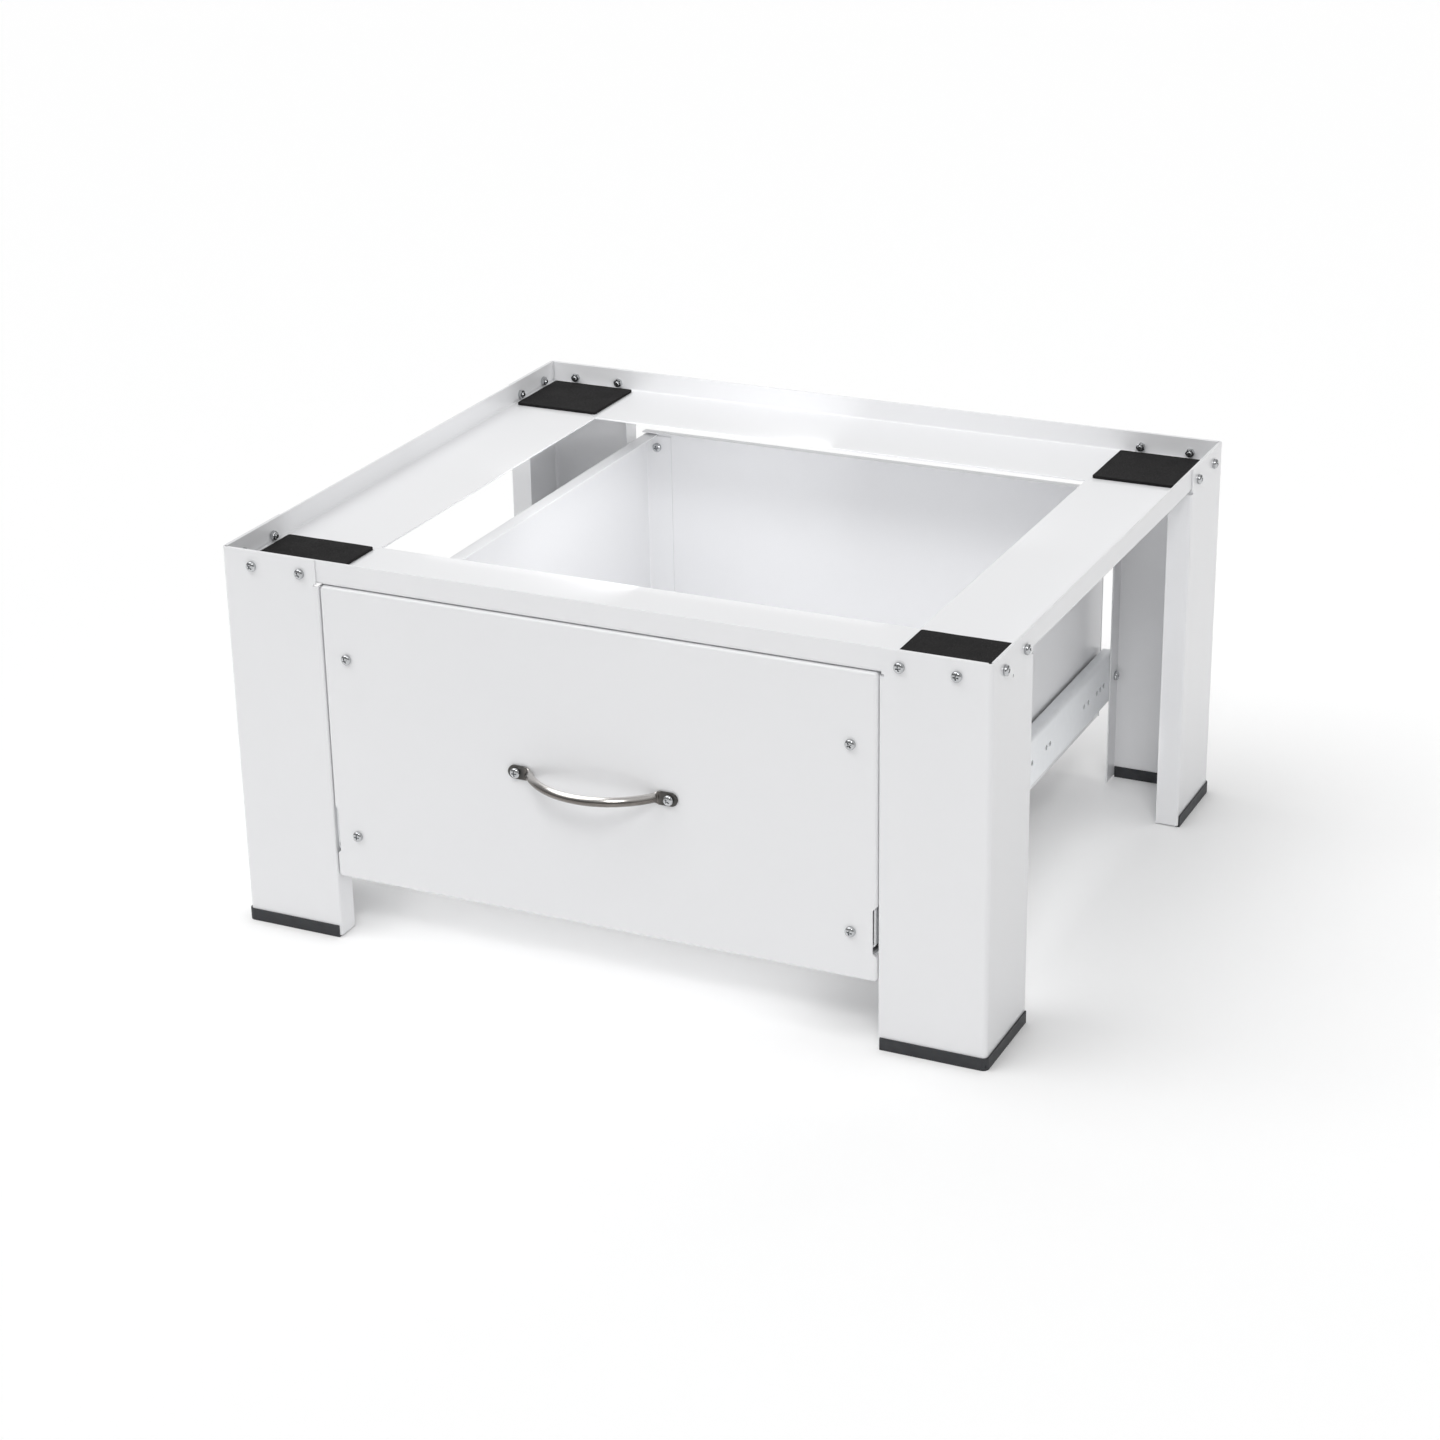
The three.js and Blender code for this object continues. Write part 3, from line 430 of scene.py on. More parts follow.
@dataclass(frozen=True)
class Rubber:
    """Black rubber sheet, matt, with a fine fibrous grain and a little dust."""

    def build(self) -> bpy.types.Material:
        """Makes the material."""
        nodes = Nodes("black_rubber")
        grain = nodes.noise(1500.0, 4.0, nodes.stretched((1, 0.35, 1)), 0.7)
        patch = nodes.noise(60.0, 4.0)
        dust = nodes.between(nodes.noise(900.0), 0.0, 1.0, (0.68, 0.74))
        base = nodes.ramp(patch, (0.006, 0.0056, 0.006), (0.0105, 0.0098, 0.0102))
        nodes.set(Base_Color=nodes.mixed(dust, base, (0.05, 0.049, 0.05, 1)),
                  Roughness=nodes.between(grain, 0.6, 0.86), Specular_IOR_Level=0.17)
        nodes.bump((patch, 0.08), (grain, 0.05))
        return nodes.material


@dataclass(frozen=True)
class TrimPlastic:
    """Dark grey extruded edge trim: fine lines along its length and a dull sheen."""

    def build(self) -> bpy.types.Material:
        """Makes the material."""
        nodes = Nodes("edge_trim_plastic")
        lines = nodes.noise(1400.0, 2.0, nodes.stretched((0.02, 0.02, 1)))
        cloud = nodes.noise(90.0, 3.0)
        nodes.set(Base_Color=nodes.ramp(cloud, (0.021, 0.022, 0.026), (0.032, 0.034, 0.038)),
                  Roughness=nodes.between(cloud, 0.42, 0.55), Specular_IOR_Level=0.45)
        nodes.bump((lines, 0.02), (nodes.noise(2200.0, 1.0), 0.006))
        return nodes.material


@dataclass(frozen=True)
class BrushedNickel:
    """Brushed dark nickel: a bow with a painted highlight, its colour bright where it faces up, between
    darker, duller tabs. Brush marks run along x.

    Args:
        bow: Half the length of the bow, in millimetres.
        fade: Half the width of the stretch where the bow turns into a tab.
    """

    bow: float = 55.0
    fade: float = 3.0

    def build(self) -> bpy.types.Material:
        """Makes the material. The share of tab grows with the distance from the middle of the handle."""
        nodes = Nodes("brushed_nickel")
        marks = nodes.noise(2600.0, 3.0, nodes.stretched((0.015, 1, 1)), 0.7)
        broad = nodes.noise(240.0, 2.0, nodes.stretched((0.04, 1, 1)))
        distance = nodes.add("ShaderNodeMath", Value=nodes.part(nodes.place, "X"))
        distance.operation = "ABSOLUTE"
        fading = ((self.bow - self.fade) * MM, (self.bow + self.fade) * MM)
        tab = nodes.between(distance.outputs["Value"], 0.0, 1.0, fading)
        # Painted highlight: the bow's colour goes to bright where its surface faces up.
        painted_highlight = nodes.between(nodes.part(nodes.coordinates["Normal"], "Z"), 0.0, 1.0)
        dull = nodes.ramp(broad, (0.17, 0.154, 0.14), (0.22, 0.202, 0.186))
        bow_colour = nodes.mixed(painted_highlight, dull, (0.66, 0.64, 0.62, 1))
        tab_colour = nodes.ramp(broad, (0.075, 0.073, 0.07), (0.105, 0.102, 0.098))
        roughness = nodes.add("ShaderNodeMath", Value=nodes.between(marks, 0.16, 0.24))
        nodes.give(roughness.inputs[1], nodes.between(tab, 0.0, 0.16, (0.0, 1.0)))
        nodes.set(Base_Color=nodes.mixed(tab, bow_colour, tab_colour), Metallic=1.0,
                  Roughness=roughness.outputs["Value"])
        nodes.bump((marks, 0.004))
        return nodes.material


@dataclass(frozen=True)
class Zinc:
    """Zinc plating.

    Args:
        name: The material's name.
        tone: Multiplies its brightness.
        roughness: Its mean roughness.
        metal: Its share of metal, less where the plating is passivated to a milky white.
        drawn: Whether it shows the lines of a rolled section along y.
    """

    name: str
    tone: float
    roughness: float
    metal: float = 1.0
    drawn: bool = False

    def build(self) -> bpy.types.Material:
        """Makes the material."""
        nodes = Nodes(self.name)
        light = tuple(self.tone * part for part in (0.74, 0.755, 0.77))
        dark = tuple(part * (0.97 if self.drawn else 0.84) for part in light)
        if self.drawn:
            grain = nodes.noise(1800.0, 2.0, nodes.stretched((1, 0.01, 1)), 0.6)
        else:
            spangle = nodes.add("ShaderNodeTexVoronoi", Vector=nodes.place, Scale=420.0).outputs["Color"]
            grain = nodes.add("ShaderNodeSeparateColor", Color=spangle).outputs["Red"]
        nodes.set(Base_Color=nodes.ramp(nodes.noise(160.0, 3.0), dark, light), Metallic=self.metal,
                  Roughness=nodes.between(grain, self.roughness - 0.05, self.roughness + 0.07, (0.1, 0.9)))
        nodes.bump((grain, 0.002 if self.drawn else 0.004), (nodes.noise(900.0), 0.002))
        return nodes.material


@dataclass(frozen=True)
class BallSteel:
    """Polished steel of the balls, with a film of grease."""

    def build(self) -> bpy.types.Material:
        """Makes the material."""
        nodes = Nodes("ball_steel")
        film = nodes.noise(700.0)
        nodes.set(Base_Color=nodes.ramp(film, (0.62, 0.61, 0.58), (0.76, 0.76, 0.75)), Metallic=1.0,
                  Roughness=nodes.between(film, 0.06, 0.2), Coat_Weight=0.4, Coat_Roughness=0.2)
        return nodes.material


@dataclass(frozen=True)
class Nylon:
    """Moulded nylon with a faint grain.

    Args:
        name: The material's name.
        colour: Its colour.
    """

    name: str
    colour: Triple

    def build(self) -> bpy.types.Material:
        """Makes the material."""
        nodes = Nodes(self.name)
        cloud = nodes.noise(300.0, 3.0)
        nodes.set(Base_Color=nodes.ramp(cloud, tuple(0.88 * part for part in self.colour), self.colour),
                  Roughness=nodes.between(cloud, 0.4, 0.5), Specular_IOR_Level=0.45)
        nodes.bump((nodes.noise(1600.0), 0.006))
        return nodes.material


class Finish(Enum):
    """The finishes of the pedestal, with the record's material slot that each belongs to."""

    PAINT = (PowderCoat(), "white_paint")
    RUBBER = (Rubber(), "rubber")
    TRIM = (TrimPlastic(), "foot_plastic")
    HANDLE = (BrushedNickel(), "handle_metal")
    ROLLED = (Zinc("rolled_zinc", 1.2, 0.38, 0.15, True), "zinc")
    # Darker zinc for the middle members and cage strips: a film of grease, and painted shade for the inside
    # of the slide seen through the outer member's holes.
    GREASED_AND_SHADED = (Zinc("greased_and_shaded_zinc", 0.34, 0.34, 0.8, True), "zinc")
    SCREW = (Zinc("screw_zinc", 0.75, 0.16), "zinc")
    BALL = (BallSteel(), "zinc")
    BUFFER = (Nylon("white_nylon", (0.82, 0.83, 0.84)), "foot_plastic")
    LEVER = (Nylon("black_nylon", (0.03, 0.03, 0.032)), "foot_plastic")

    @property
    def slot(self) -> str:
        """The record's material slot."""
        return self.value[1]

    @property
    def material(self) -> bpy.types.Material:
        """The material, made when it is first asked for."""
        if self.name not in _MATERIALS:
            _MATERIALS[self.name] = self.value[0].build()
        return _MATERIALS[self.name]


_MATERIALS: dict[str, bpy.types.Material] = {}


# ---------------------------------------------------------------- pieces


def link(name: str, data: bpy.types.ID) -> bpy.types.Object:
    """Puts a new object in the scene."""
    thing = bpy.data.objects.new(name, data)
    bpy.context.scene.collection.objects.link(thing)
    return thing


@dataclass
class Piece:
    """One visible piece.

    Args:
        name: Its name.
        shell: Its surface.
        finish: Its finish.
        body: The body that it rides on.
        node: The node that it stands for, if any.
        tools: Shapes that are taken out of it.
        smooth: The angle in degrees up to which its faces shade as one.
    """

    name: str
    shell: Shell
    finish: Finish
    body: str
    node: str = ""
    tools: Sequence[Shell] = ()
    smooth: float = 38.0

    def build(self) -> None:
        """Makes the object, cuts it with its tools and gives it to its body."""
        piece = self._object(self.name, self.shell)
        if self.tools:
            self._cut(piece, self._object(self.name + "_tool", Shell.joined(self.tools)))
        mesh = piece.data
        mesh.materials.clear()
        mesh.materials.append(self.finish.material)
        mesh.shade_smooth()
        mesh.set_sharp_from_angle(angle=math.radians(self.smooth))
        weighted = piece.modifiers.new("even_shading", "WEIGHTED_NORMAL")
        weighted.keep_sharp = True
        weighted.weight = 100
        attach(piece, self.body)
        if self.node:
            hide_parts(self.node)
        LOG.info("%s: %d faces on %s", self.name, len(mesh.polygons), self.body)

    @staticmethod
    def _object(name: str, shell: Shell) -> bpy.types.Object:
        """An object of a shell, with its faces pointing out."""
        mesh = bpy.data.meshes.new(name)
        mesh.from_pydata(shell.points * MM, [], shell.faces)
        work = bmesh.new()
        work.from_mesh(mesh)
        bmesh.ops.remove_doubles(work, verts=work.verts, dist=1e-6)
        bmesh.ops.recalc_face_normals(work, faces=work.faces)
        work.to_mesh(mesh)
        work.free()
        return link(name, mesh)

    @staticmethod
    def _cut(piece: bpy.types.Object, tool: bpy.types.Object) -> None:
        """Takes the tool's shapes out of the piece and removes the tool."""
        modifier = piece.modifiers.new("cut", "BOOLEAN")
        modifier.object = tool
        modifier.operation = "DIFFERENCE"
        modifier.solver = "EXACT"
        modifier.use_self = True
        bpy.context.view_layer.update()
        graph = bpy.context.evaluated_depsgraph_get()
        mesh = bpy.data.meshes.new_from_object(piece.evaluated_get(graph))
        piece.modifiers.clear()
        piece.data = mesh
        mesh.name = piece.name
        bpy.data.objects.remove(tool)


@dataclass(frozen=True)
class Box:
    """A node's box in millimetres."""

    low: Array
    high: Array

    @staticmethod
    def of(node: str) -> "Box":
        """The box of a node of the frame."""
        low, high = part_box(node)
        return Box(np.array(low) / MM, np.array(high) / MM)

    @property
    def middle(self) -> Array:
        """Its centre."""
        return (self.low + self.high) / 2

    def span(self, axis: int) -> Pair:
        """Its extent along one axis."""
        return float(self.low[axis]), float(self.high[axis])

    def face(self, axis: int, sign: float) -> float:
        """Where its face towards the positive or the negative end of an axis lies."""
        return self.span(axis)[sign > 0]


# ---------------------------------------------------------------- fasteners


@dataclass(frozen=True)
class PanHead:
    """A pan head screw with a cross recess, its seat at z = 0 and its thread below.

    Args:
        radius: Radius of the head.
        height: Height of the head.
        thread: Radius of the thread.
        pitch: Pitch of the thread.
        recess: Length of an arm of the recess from the middle.
        arm: Width of an arm.
        deep: Depth of the recess.
        taper: Widths over which the walls along an arm and the wall at its end slope.
    """

    radius: float = 4.1
    height: float = 3.4
    thread: float = 2.0
    pitch: float = 0.7
    recess: float = 2.2
    arm: float = 1.05
    deep: float = 1.5
    taper: Pair = (0.16, 0.75)

    def head(self, sides: int = 96) -> Shell:
        """The head: a dome over a short rim.

        The dome's height is a superellipse of the radius. The recess is taken from it where the distance to
        an arm's middle line is under half the arm's width, with steep sides that taper inwards.
        """
        radius = np.concatenate([np.linspace(0.06, 2.5, 18), np.linspace(2.75, self.radius, 8)])[:, None]
        plan = radius[..., None] * circle(sides)
        off_arm, out = np.abs(plan).min(axis=-1), np.abs(plan).max(axis=-1)
        dome = self.height * (0.4 + 0.6 * (1 - (radius / self.radius) ** 2.6) ** 0.5)
        wall = np.clip((self.arm / 2 - off_arm) / self.taper[0], 0, 1)
        slope = np.clip((self.recess - out) / self.taper[1], 0, 1)
        grid = raised(plan, dome - self.deep * np.minimum(wall, slope))
        rim = [(self.radius, 0.3 * self.height), (self.radius - 0.06, 0.12), (self.radius - 0.2, 0.0),
               (self.thread, 0.0)]
        return lattice(np.concatenate([grid, turned(rim, sides)]))

    def shank(self, start: float, end: float, sides: int = 20) -> Shell:
        """The thread between two heights below the head.

        Its radius is a triangle wave of the height in pitches plus the share of a turn, a helix.
        """
        height = np.arange(start, end, -self.pitch / 4)[:, None]
        phase = (height / self.pitch + np.arange(sides) / sides) % 1
        radius = self.thread - 0.36 * np.abs(2 * phase - 1)
        radius[-1] = self.thread - 0.55
        return lattice(raised(radius[..., None] * circle(sides), height))


@dataclass(frozen=True)
class HexNut:
    """A hexagon nut with chamfered corners, its seat at z = 0 and its body above.

    Args:
        flats: Width across the flats.
        height: Height.
        bore: Radius of its hole.
        chamfer: Size of the chamfer at the hole.
    """

    flats: float = 7.0
    height: float = 3.1
    bore: float = 1.9
    chamfer: float = 0.3

    def shell(self, sides: int = 72) -> Shell:
        """The nut: the distance to a flat is the apothem over the cosine of the angle from its middle.

        A cone cuts the corners: past the apothem the height falls with the radius.
        """
        turn = np.linspace(0, 2 * math.pi, sides, endpoint=False)
        apothem = self.flats / 2
        hexagon = apothem / np.cos((turn + math.pi / 6) % (math.pi / 3) - math.pi / 6)
        fall = 0.6 * (hexagon - 0.97 * apothem)
        mouth, flat = self.bore + self.chamfer, 0.95 * apothem
        rows = [(mouth, self.height), (flat, self.height), (hexagon, self.height - fall), (hexagon, fall),
                (flat, 0), (mouth, 0), (self.bore, self.chamfer), (self.bore, self.height - self.chamfer)]
        radius, height = (np.array([np.broadcast_to(row[i], sides) for row in rows]) for i in (0, 1))
        return lattice(raised(radius[..., None] * circle(sides), height), closed=True)


@dataclass
class Fasteners:
    """The bolts, nuts and screws, each placed by its node's box.

    Args:
        screw: The screw.
        nut: The nut.
        tip: Length of the thread past a nut.
        turns: How far the recesses are turned, in degrees, one after the other.
    """

    screw: PanHead = PanHead()
    nut: HexNut = HexNut()
    tip: float = 1.7
    turns: Sequence[float] = (12, 47, 78, 33, 64, 5, 88, 26)

    def _turn(self, number: int) -> float:
        """The turn of a fastener, so that no two recesses in a row stand alike."""
        return self.turns[number % len(self.turns)]

    def _screw(self, node: str, facing: Triple, number: int, body: str, nut: bool = False) -> None:
        """A screw in place of a node, its head at the end of the node's box that it faces.

        Args:
            node: The node.
            facing: The way its head looks.
            number: Its number, for its turn.
            body: The body that it rides on.
            nut: Whether a nut sits near the thread's tip.
        """
        box = Box.of(node)
        towards = np.array(facing, float)
        axis = int(np.argmax(np.abs(towards)))
        sign = towards[axis]
        seat = box.middle
        seat[axis] = box.face(axis, sign) - sign * self.screw.height
        length = box.high[axis] - box.low[axis] - self.screw.height
        shell = Shell.joined([self.screw.head().spun(self._turn(number)), self.screw.shank(0.3, -length)])
        Piece(f"{node}_visible", shell.placed(seat, towards), Finish.SCREW, body, node).build()
        if nut:
            seat[axis] = box.face(axis, -sign) + sign * (self.tip + self.nut.height)
            shell = self.nut.shell().spun(self._turn(number + 3)).placed(seat, -towards)
            Piece(f"{node}_nut", shell, Finish.SCREW, body, smooth=25).build()

    def build(self) -> None:
        """Dresses every fastener of the pedestal."""
        number = 0
        for end, sy in ENDS.items():
            for side, sx in SIDES.items():
                for i in range(4):
                    number += 1
                    facing = (sx, 0, 0) if i % 2 else (0, sy, 0)
                    self._screw(f"leg_bolt_{end}_{side}_{i + 1}", facing, number, "frame", nut=True)
                number += 1
                self._screw(f"slide_screw_{end}_{side}", (sx, 0, 0), number, "frame")
        for side in SIDES:
            for kind in ("handle_screw", "front_screw_lower", "front_screw_upper", "back_screw"):
                number += 1
                self._screw(f"{kind}_{side}", (0, -1, 0), number, "drawer", nut=kind == "back_screw")


# ---------------------------------------------------------------- frame


@dataclass
class TopFrame:
    """Legs, rails, edge trims and pads.

    Args:
        leg_sheet: Thickness of the legs.
        rail_sheet: Thickness of the rails.
        corner: Middle radius of a leg's corner.
        turned: Middle radius of a leg's turned edges.
        rail_bend: Middle radius of a rail's bend.
        seat: Play between sheets.
        returns: Widths of a leg's turned edges, beside the drawer and beside the slide.
        relief: Length and height of the slit above a turned edge.
        pilot: A hole in the front legs: its distance from their face, below the deck, and its radius.
        trim: Height, wall and floor of an edge trim.
        mitre_gap: How far a mitre stays short of the corner's diagonal.
    """

    leg_sheet: float = 1.2
    rail_sheet: float = 1.5
    corner: float = 3.0
    turned: float = 1.2
    rail_bend: float = 2.4
    seat: float = 0.1
    returns: Pair = (20.0, 19.5)
    relief: Pair = (4.0, 1.8)
    pilot: Triple = (41.2, 5.0, 1.3)
    trim: Triple = (10.0, 1.2, 1.3)
    mitre_gap: float = 0.15

    def __post_init__(self) -> None:
        """Reads the frame's boxes."""
        self.legs = {(end, side): Box.of(f"leg_{end}_{side}") for end in ENDS for side in SIDES}
        self.top = float(self.legs["front", "left"].high[2])
        self.front = float(self.legs["front", "left"].low[1])
        self.rear = float(self.legs["rear", "left"].high[1])
        self.half_x = float(self.legs["front", "right"].high[0])
        self.deck = float(Box.of("pad_front_left").low[2]) - self.seat

    def build(self) -> None:
        """Makes every piece of the frame."""
        for end in ENDS:
            for side in SIDES:
                self._leg(end, side)
                self._trim(end, side)
                self._pad(end, side)
        for name in (*ENDS, *SIDES):
            self._rail(name)

    def _leg(self, end: str, side: str) -> None:
        """A leg: the bent strip of its plan, less what its turned edges leave free at the top."""
        sx, sy = SIDES[side], ENDS[end]
        box = self.legs[end, side]
        half = self.leg_sheet / 2
        outer_x, inner_x = box.face(0, sx), box.face(0, -sx)
        outer_y, inner_y = box.face(1, sy), box.face(1, -sy)
        return_y, return_x = self.returns
        plan = BentSheet([
            (inner_x + sx * half, outer_y - sy * return_y, 0),
            (inner_x + sx * half, outer_y - sy * half, self.turned),
            (outer_x - sx * half, outer_y - sy * half, self.corner),
            (outer_x - sx * half, inner_y + sy * half, self.turned),
            (outer_x - sx * return_x, inner_y + sy * half, 0),
        ], self.leg_sheet)
        length, height = self.relief
        relief = self.deck - self.rail_sheet - self.seat - height
        bare, slit = (relief, self.top + 1), (relief - 0.01, relief + height)
        turn = self.turned + half
        tools = []
        for wide, deep_x, deep_y, z in ((turn, return_x + 1, return_y + 1, bare), (length, 3, 3, slit)):
            tools.append(block((inner_x - sx, inner_x + sx * wide), (outer_y - sy * deep_y, outer_y + sy), z))
            tools.append(block((outer_x - sx * deep_x, outer_x + sx), (inner_y - sy, inner_y + sy * wide), z))
        if end == "front":
            back, down, radius = self.pilot
            tools.append(rod(Axis.X, (outer_y - sy * back, self.deck - down), radius,
                             (outer_x - sx * 3, outer_x + sx)))
        shell = plan.along(Axis.Z, float(box.low[2]), self.top)
        Piece(f"leg_{end}_{side}_sheet", shell, Finish.PAINT, "frame", f"leg_{end}_{side}", tools).build()

    def _trim(self, end: str, side: str) -> None:
        """An edge trim: a U section with soft lips, carried round the leg's corner, with a pin hole there.

        Its line is the leg's own, and the section goes half the sheet, the play and the wall to each side.
        """
        sx, sy = SIDES[side], ENDS[end]
        box = Box.of(f"foot_{end}_{side}")
        leg = self.legs[end, side]
        half = self.leg_sheet / 2
        x, y = leg.face(0, sx) - sx * half, leg.face(1, sy) - sy * half
        corners = [(box.face(0, -sx), y, 0), (x, y, self.corner), (x, box.face(1, -sy), 0)]
        height, wall, floor = self.trim
        inner = half + self.seat
        outer = inner + wall
        drawn, fall = rounding(0.35, 4)
        profile = [*zip(drawn - outer, fall), *zip(fall - outer, height - drawn),
                   (-inner - 0.1, height), (-inner, height - 0.15), (-inner, floor)]
        section = np.array([*profile, *((-offset, z) for offset, z in profile[::-1])])
        path, headings = BentSheet(corners, self.leg_sheet).middle()
        left = np.stack([-headings[:, 1], headings[:, 0]], axis=1)
        plan = path[:, None, :] + left[:, None, :] * section[None, :, :1]
        shell = lattice(raised(plan, section[:, 1]))
        pin = lattice(turned([(0.01, 0), (0.55, 0), (0.55, 6), (0.01, 6)], 24))
        tool = pin.placed((x - sx * 0.4, y - sy * 0.4, 3.3), (sx, sy, 0))
        Piece(f"foot_{end}_{side}_trim", shell, Finish.TRIM, "frame", f"foot_{end}_{side}", [tool]).build()

    def _pad(self, end: str, side: str) -> None:
        """A rubber pad: rounded rectangles stacked to its middle, lower where the sheet is uneven.

        The dips are products of sines of the place, and only go down from the pad's top face.
        """
        box = Box.of(f"pad_{end}_{side}")
        top = float(box.high[2])
        edge, dip = 0.5, 0.08
        drawn, fall = rounding(edge)
        profile = [*zip(drawn, box.low[2] + fall / 2), *zip(fall, top - drawn),
                   *((inset, top) for inset in np.linspace(2.5, 34, 13))]
        shell = stacked(Axis.Z, box.span(0), box.span(1), 2.0, profile, per_side=14)
        x, y, z = shell.points.T
        wave = np.sin(x / 9.0 + SIDES[side]) * np.sin(y / 7.0 + ENDS[end]) + 0.5 * np.sin(x / 4.1 - y / 5.3)
        z -= np.where(z > top - edge, dip * (1.5 + wave), 0)
        Piece(f"pad_{end}_{side}_rubber", shell, Finish.RUBBER, "frame", f"pad_{end}_{side}").build()

    def _rail(self, name: str) -> None:
        """A rail: an L section with mitred ends.

        A point of the section runs as far as the corner's diagonal: half the rail's length less its depth
        in the frame times the ratio of the widths of the two rails that meet.
        """
        box = Box.of(f"rail_{name}")
        along, across = (0, 1) if name in ENDS else (1, 0)
        sign = {**ENDS, **SIDES}[name]
        half = self.rail_sheet / 2
        upstand, inner = box.face(across, sign) - sign * half, box.face(across, -sign)
        level = self.deck - half
        corners = [(upstand, self.top, 0.0), (upstand, level, self.rail_bend), (inner, level, 0.0)]
        if along:
            corners = [(z, x, radius) for x, z, radius in corners]
        centre = (0.0, (self.front + self.rear) / 2)
        halves = (self.half_x, (self.rear - self.front) / 2)
        widths = (self.half_x - abs(Box.of("rail_right").low[0]), self.rear - Box.of("rail_rear").low[1])

        def mitre(section: Array) -> Array:
            """How far from the middle each point of the section may run."""
            depth = halves[across] - np.abs(section[:, along] - centre[across])
            return halves[along] - self.mitre_gap - depth * widths[along] / widths[across]

        start, end = (place - centre[along] for place in box.span(along))
        shell = BentSheet(corners, self.rail_sheet).along((Axis.X, Axis.Y)[along], start, end, mitre)
        shell.points[:, along] += centre[along]
        Piece(f"rail_{name}_sheet", shell, Finish.PAINT, "frame", f"rail_{name}").build()


# ---------------------------------------------------------------- slides


@dataclass
class Slide:
    """One ball bearing slide of three members, with its small parts.

    Args:
        side: Which side of the drawer it is on.
        sheet: Thickness of its members.
        cage_sheet: Thickness of the ball cages.
        holes: Places of the free holes behind the middle.
        hole: Their radius.
        balls: Balls in a row.
        ball_depth: The balls' distance from the outer member's back.
    """

    side: str
    sheet: float = 1.2
    cage_sheet: float = 0.5
    holes: Sequence[float] = (57, 91, 100, 185, 196, 218, 227, 236)
    hole: float = 2.35
    balls: int = 11
    ball_depth: float = 7.5

    def __post_init__(self) -> None:
        """Reads the slide's boxes."""
        self.sign = SIDES[self.side]
        self.outer = Box.of(f"slide_outer_{self.side}")
        self.face = self.outer.face(0, self.sign)
        self.z = float(self.outer.middle[2])

    def build(self) -> None:
        """Makes the three members, the two cages and the small parts."""
        self._outer()
        self._member("slide_middle", f"middle_{self.side}", 2.0, True)
        self._member("slide_inner", "drawer", 1.6, False)
        self._cage("outer", 1.6)
        self._cage("inner", 1.2)
        self._screws()
        self._buffer()
        self._lever()

    def _strip(self, high: float, lip: float, web: float, bend: float, sheet: float,
               edge: float = EDGE) -> BentSheet:
        """A channel's section in (z, x), from one lip over the web to the other."""
        upper, lower = self.z + high, self.z - high
        corners = [(upper, lip, 0), (upper, web, bend), (lower, web, bend), (lower, lip, 0)]
        return BentSheet(corners, sheet, edge)

    def _channel(self, box: Box, bend: float, open_in: bool) -> Shell:
        """A member that fills a box, open towards the drawer or towards the leg."""
        half = self.sheet / 2
        near, far = box.face(0, self.sign), box.face(0, -self.sign)
        web, lip = (near - self.sign * half, far) if open_in else (far + self.sign * half, near)
        strip = self._strip(box.high[2] - self.z - half, lip, web, bend, self.sheet)
        return strip.along(Axis.Y, *box.span(1))

    def _outer(self) -> None:
        """The member on the legs, with its row of unused holes."""
        middle_y = (Box.of("leg_front_left").low[1] + Box.of("leg_rear_left").high[1]) / 2
        through = (self.face + self.sign * 2, self.face - self.sign * 3)
        tools = [rod(Axis.X, (middle_y + y, self.z), self.hole, through) for y in self.holes]
        name = f"slide_outer_{self.side}"
        shell = self._channel(self.outer, 4.0, True)
        Piece(f"{name}_rolled", shell, Finish.ROLLED, "frame", name, tools).build()

    def _member(self, kind: str, body: str, bend: float, open_in: bool) -> None:
        """A plain member."""
        name = f"{kind}_{self.side}"
        # The middle member gets the darker zinc with painted shade; the drawer's member stays bright.
        finish = Finish.GREASED_AND_SHADED if open_in else Finish.ROLLED
        Piece(f"{name}_rolled", self._channel(Box.of(name), bend, open_in), finish, body, name).build()

    def _cage(self, row: str, radius: float) -> None:
        """A ball cage: a thin strip, and two rows of balls that fit between the races."""
        name = f"ball_cage_{row}_{self.side}"
        body = f"cage_{row}_{self.side}"
        box = Box.of(name)
        member = Box.of(f"slide_{'middle' if row == 'outer' else 'inner'}_{self.side}")
        row_z = float(member.high[2]) - self.z + radius + 0.3
        ball_x = self.face - self.sign * self.ball_depth
        web = box.face(0, self.sign) - self.sign * self.cage_sheet / 2
        strip = self._strip(row_z, ball_x - self.sign * 2.2, web, 2.0, self.cage_sheet, 0.15)
        start, end = box.span(1)
        places = start + (end - start) * (np.arange(self.balls) + 0.5) / self.balls
        spots = [(y, sign) for y in places for sign in (-1, 1)]
        tools = [rod(Axis.Z, (ball_x, y), radius + 0.12,
                     (self.z + sign * (row_z - 1), self.z + sign * (row_z + 1)), 20) for y, sign in spots]
        # The cage strip gets the darker zinc with painted shade.
        Piece(f"{name}_strip", strip.along(Axis.Y, start, end), Finish.GREASED_AND_SHADED, body, name, tools).build()
        angle = np.linspace(0.05, math.pi - 0.05, 9)
        ball = lattice(turned(list(zip(radius * np.sin(angle), radius * np.cos(angle))), 16))
        balls = Shell.joined([ball.placed((ball_x, y, self.z + sign * row_z)) for y, sign in spots])
        Piece(f"{name}_balls", balls, Finish.BALL, body, smooth=80).build()

    def _buffer(self) -> None:
        """A plastic buffer clipped over the front end of the middle member's web."""
        box = Box.of(f"slide_middle_{self.side}")
        web = box.face(0, self.sign) - self.sign * self.sheet / 2
        strip = self._strip(box.high[2] - self.z - 2.0, web - self.sign * 3.2, web, 2.4, 1.5)
        shell = strip.along(Axis.Y, box.low[1] - 6.3, box.low[1] - 0.05)
        Piece(f"slide_buffer_{self.side}", shell, Finish.BUFFER, f"middle_{self.side}").build()

